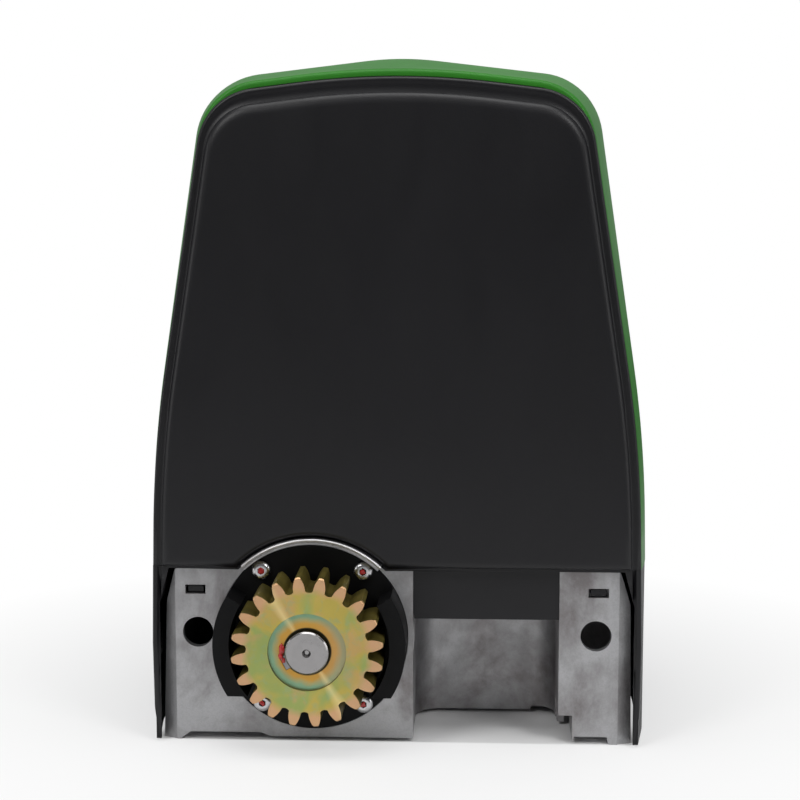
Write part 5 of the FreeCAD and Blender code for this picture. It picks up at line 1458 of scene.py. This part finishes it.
# --------------------------------------------------------------------- studio
@dataclass(frozen=True)
class SoftBox:
    """One rectangular light, in metres.

    Attributes:
        name: The light's name.
        at: Its place.
        aim: Height of the point above the origin that it faces.
        size: Width and height.
        power: Watts.
    """

    name: str
    at: Point
    aim: float
    size: Pair
    power: float

    def hang(self) -> None:
        """Hangs the light and turns it to its aim."""
        lamp = bpy.data.lights.new(self.name, "AREA")
        lamp.shape = "RECTANGLE"
        lamp.size, lamp.size_y = self.size
        lamp.energy = self.power
        holder = bpy.data.objects.new(self.name, lamp)
        holder.location = self.at
        ahead = Vector((0.0, 0.0, self.aim)) - Vector(self.at)
        holder.rotation_euler = ahead.to_track_quat("-Z", "Y").to_euler()
        bpy.context.scene.collection.objects.link(holder)


LIGHTS = (
    SoftBox("overhead", (0.0, -0.35, 1.6), 0.2, (1.3, 0.8), 12.0),
    SoftBox("left_box", (-1.0, -1.3, 1.35), 0.15, (0.6, 0.6), 10.0),
    SoftBox("right_box", (1.1, -1.2, 1.35), 0.15, (0.6, 0.6), 10.0),
    SoftBox("left_edge", (-1.6, -0.5, 0.35), 0.15, (0.4, 0.8), 3.0),
    SoftBox("right_edge", (1.6, -0.5, 0.35), 0.15, (0.4, 0.8), 3.0),
)


@dataclass
class Studio:
    """Pale floor, room and camera, in metres unless said otherwise.

    Attributes:
        eye: The camera's place.
        yaw: Turn of the camera to the left, in degrees.
        pitch: How far it looks down, in degrees.
        lens: Focal length in millimetres on a 36 mm sensor.
        front: Brightness of the room on the gate's side.
        back: Brightness of the room on the far side.
        pale: Distances between which the floor fades to white for the camera.
        dark_x: Distances to the side between which the floor under the motor stops showing.
        dark_front: The same at the gate's side.
        dark_back: The same at the far side.
    """

    eye: Point = (0.0473, -1.0633, 0.3261)
    yaw: float = 2.63
    pitch: float = 7.05
    lens: float = 76.5
    front: float = 0.13
    back: float = 0.42
    pale: Pair = (0.16, 0.42)
    dark_x: Pair = (0.139, 0.143)
    dark_front: Pair = (-0.086, -0.084)
    dark_back: Pair = (0.066, 0.072)

    def floor_look(self) -> bpy.types.Material:
        """Makes the floor's material: white to the camera away from the motor.

        Returns:
            The material.
        """
        mix = Recipe("floor_pale")
        reach = mix.length(mix.place)
        near, far = (0.88, 0.88, 0.88), (0.20, 0.20, 0.20)
        mix.feed("Base Color", mix.blend(mix.spread(reach, 0.0, 1.0, 0.5, 1.3), near, far))
        mix.fix(Roughness=0.9, Specular_IOR_Level=0.1)
        glow = mix.add("ShaderNodeEmission", {"Color": WHITE, "Strength": 1.0})
        seen = mix.add("ShaderNodeLightPath").outputs["Is Camera Ray"]
        out = mix.spread(mix.math("ABSOLUTE", mix.along(mix.place, "X")), 0.0, 1.0, *self.dark_x)
        y = mix.along(mix.place, "Y")
        out = mix.math("MAXIMUM", out, mix.spread(y, 1.0, 0.0, *self.dark_front))
        out = mix.math("MAXIMUM", out, mix.spread(y, 0.0, 1.0, *self.dark_back))
        fade = mix.spread(reach, 0.55, 1.0, *self.pale)
        amount = mix.math("MULTIPLY", mix.math("MULTIPLY", seen, out), fade)
        choose = mix.add("ShaderNodeMixShader", {0: amount, 1: mix.shader.outputs[0], 2: glow.outputs[0]})
        mix.join(choose.outputs[0], mix.tree.nodes["Material Output"].inputs["Surface"])
        return mix.material

    def floor(self) -> None:
        """Lays the floor."""
        mesh = bmesh.new()
        bmesh.ops.create_grid(mesh, x_segments=1, y_segments=1, size=8.0)
        data = bpy.data.meshes.new("floor")
        mesh.to_mesh(data)
        mesh.free()
        slab = bpy.data.objects.new("floor", data)
        bpy.context.scene.collection.objects.link(slab)
        data.materials.append(self.floor_look())

    def world(self) -> None:
        """Sets a room that is dim in front, bright behind and white to the camera."""
        room = bpy.data.worlds.new("room")
        room.use_nodes = True
        bpy.context.scene.world = room
        nodes = Nodes(room.node_tree)
        place = nodes.add("ShaderNodeTexCoord").outputs["Generated"]
        way = nodes.add("ShaderNodeSeparateXYZ", {0: place}).outputs["Y"]
        fade = nodes.add("ShaderNodeMapRange", {"Value": way, "From Min": -0.3, "From Max": 0.35,
                                                "To Min": self.front, "To Max": self.back})
        dim = nodes.tree.nodes["Background"]
        dim.inputs["Color"].default_value = (0.97, 0.98, 1.0, 1.0)
        nodes.join(fade.outputs["Result"], dim.inputs["Strength"])
        seen = nodes.add("ShaderNodeLightPath").outputs["Is Camera Ray"]
        white = nodes.add("ShaderNodeBackground", {"Color": WHITE})
        choose = nodes.add("ShaderNodeMixShader", {0: seen, 1: dim.outputs[0], 2: white.outputs[0]})
        nodes.join(choose.outputs[0], nodes.tree.nodes["World Output"].inputs["Surface"])

    def camera(self) -> None:
        """Places the camera."""
        yaw, pitch = math.radians(self.yaw), math.radians(self.pitch)
        ahead = Vector((-math.sin(yaw) * math.cos(pitch), math.cos(yaw) * math.cos(pitch), -math.sin(pitch)))
        view = bpy.data.cameras.new("camera")
        view.lens = self.lens
        view.sensor_width = 36.0
        view.clip_start = 0.05
        holder = bpy.data.objects.new("camera", view)
        holder.location = self.eye
        holder.rotation_euler = ahead.to_track_quat("-Z", "Y").to_euler()
        bpy.context.scene.collection.objects.link(holder)
        bpy.context.scene.camera = holder

    def build(self) -> None:
        """Sets up floor, room, lights and camera."""
        self.floor()
        self.world()
        for light in LIGHTS:
            light.hang()
        self.camera()
        bpy.context.scene.view_settings.view_transform = "Standard"


def main() -> None:
    """Builds everything in order."""
    logging.basicConfig(level=logging.INFO, format="%(message)s")
    Studio().build()
    dress_carried()
    RearCasing().build()
    Hood().build()
    GearSide().build()
    Controller().build()


if __name__ == "__main__":
    main()
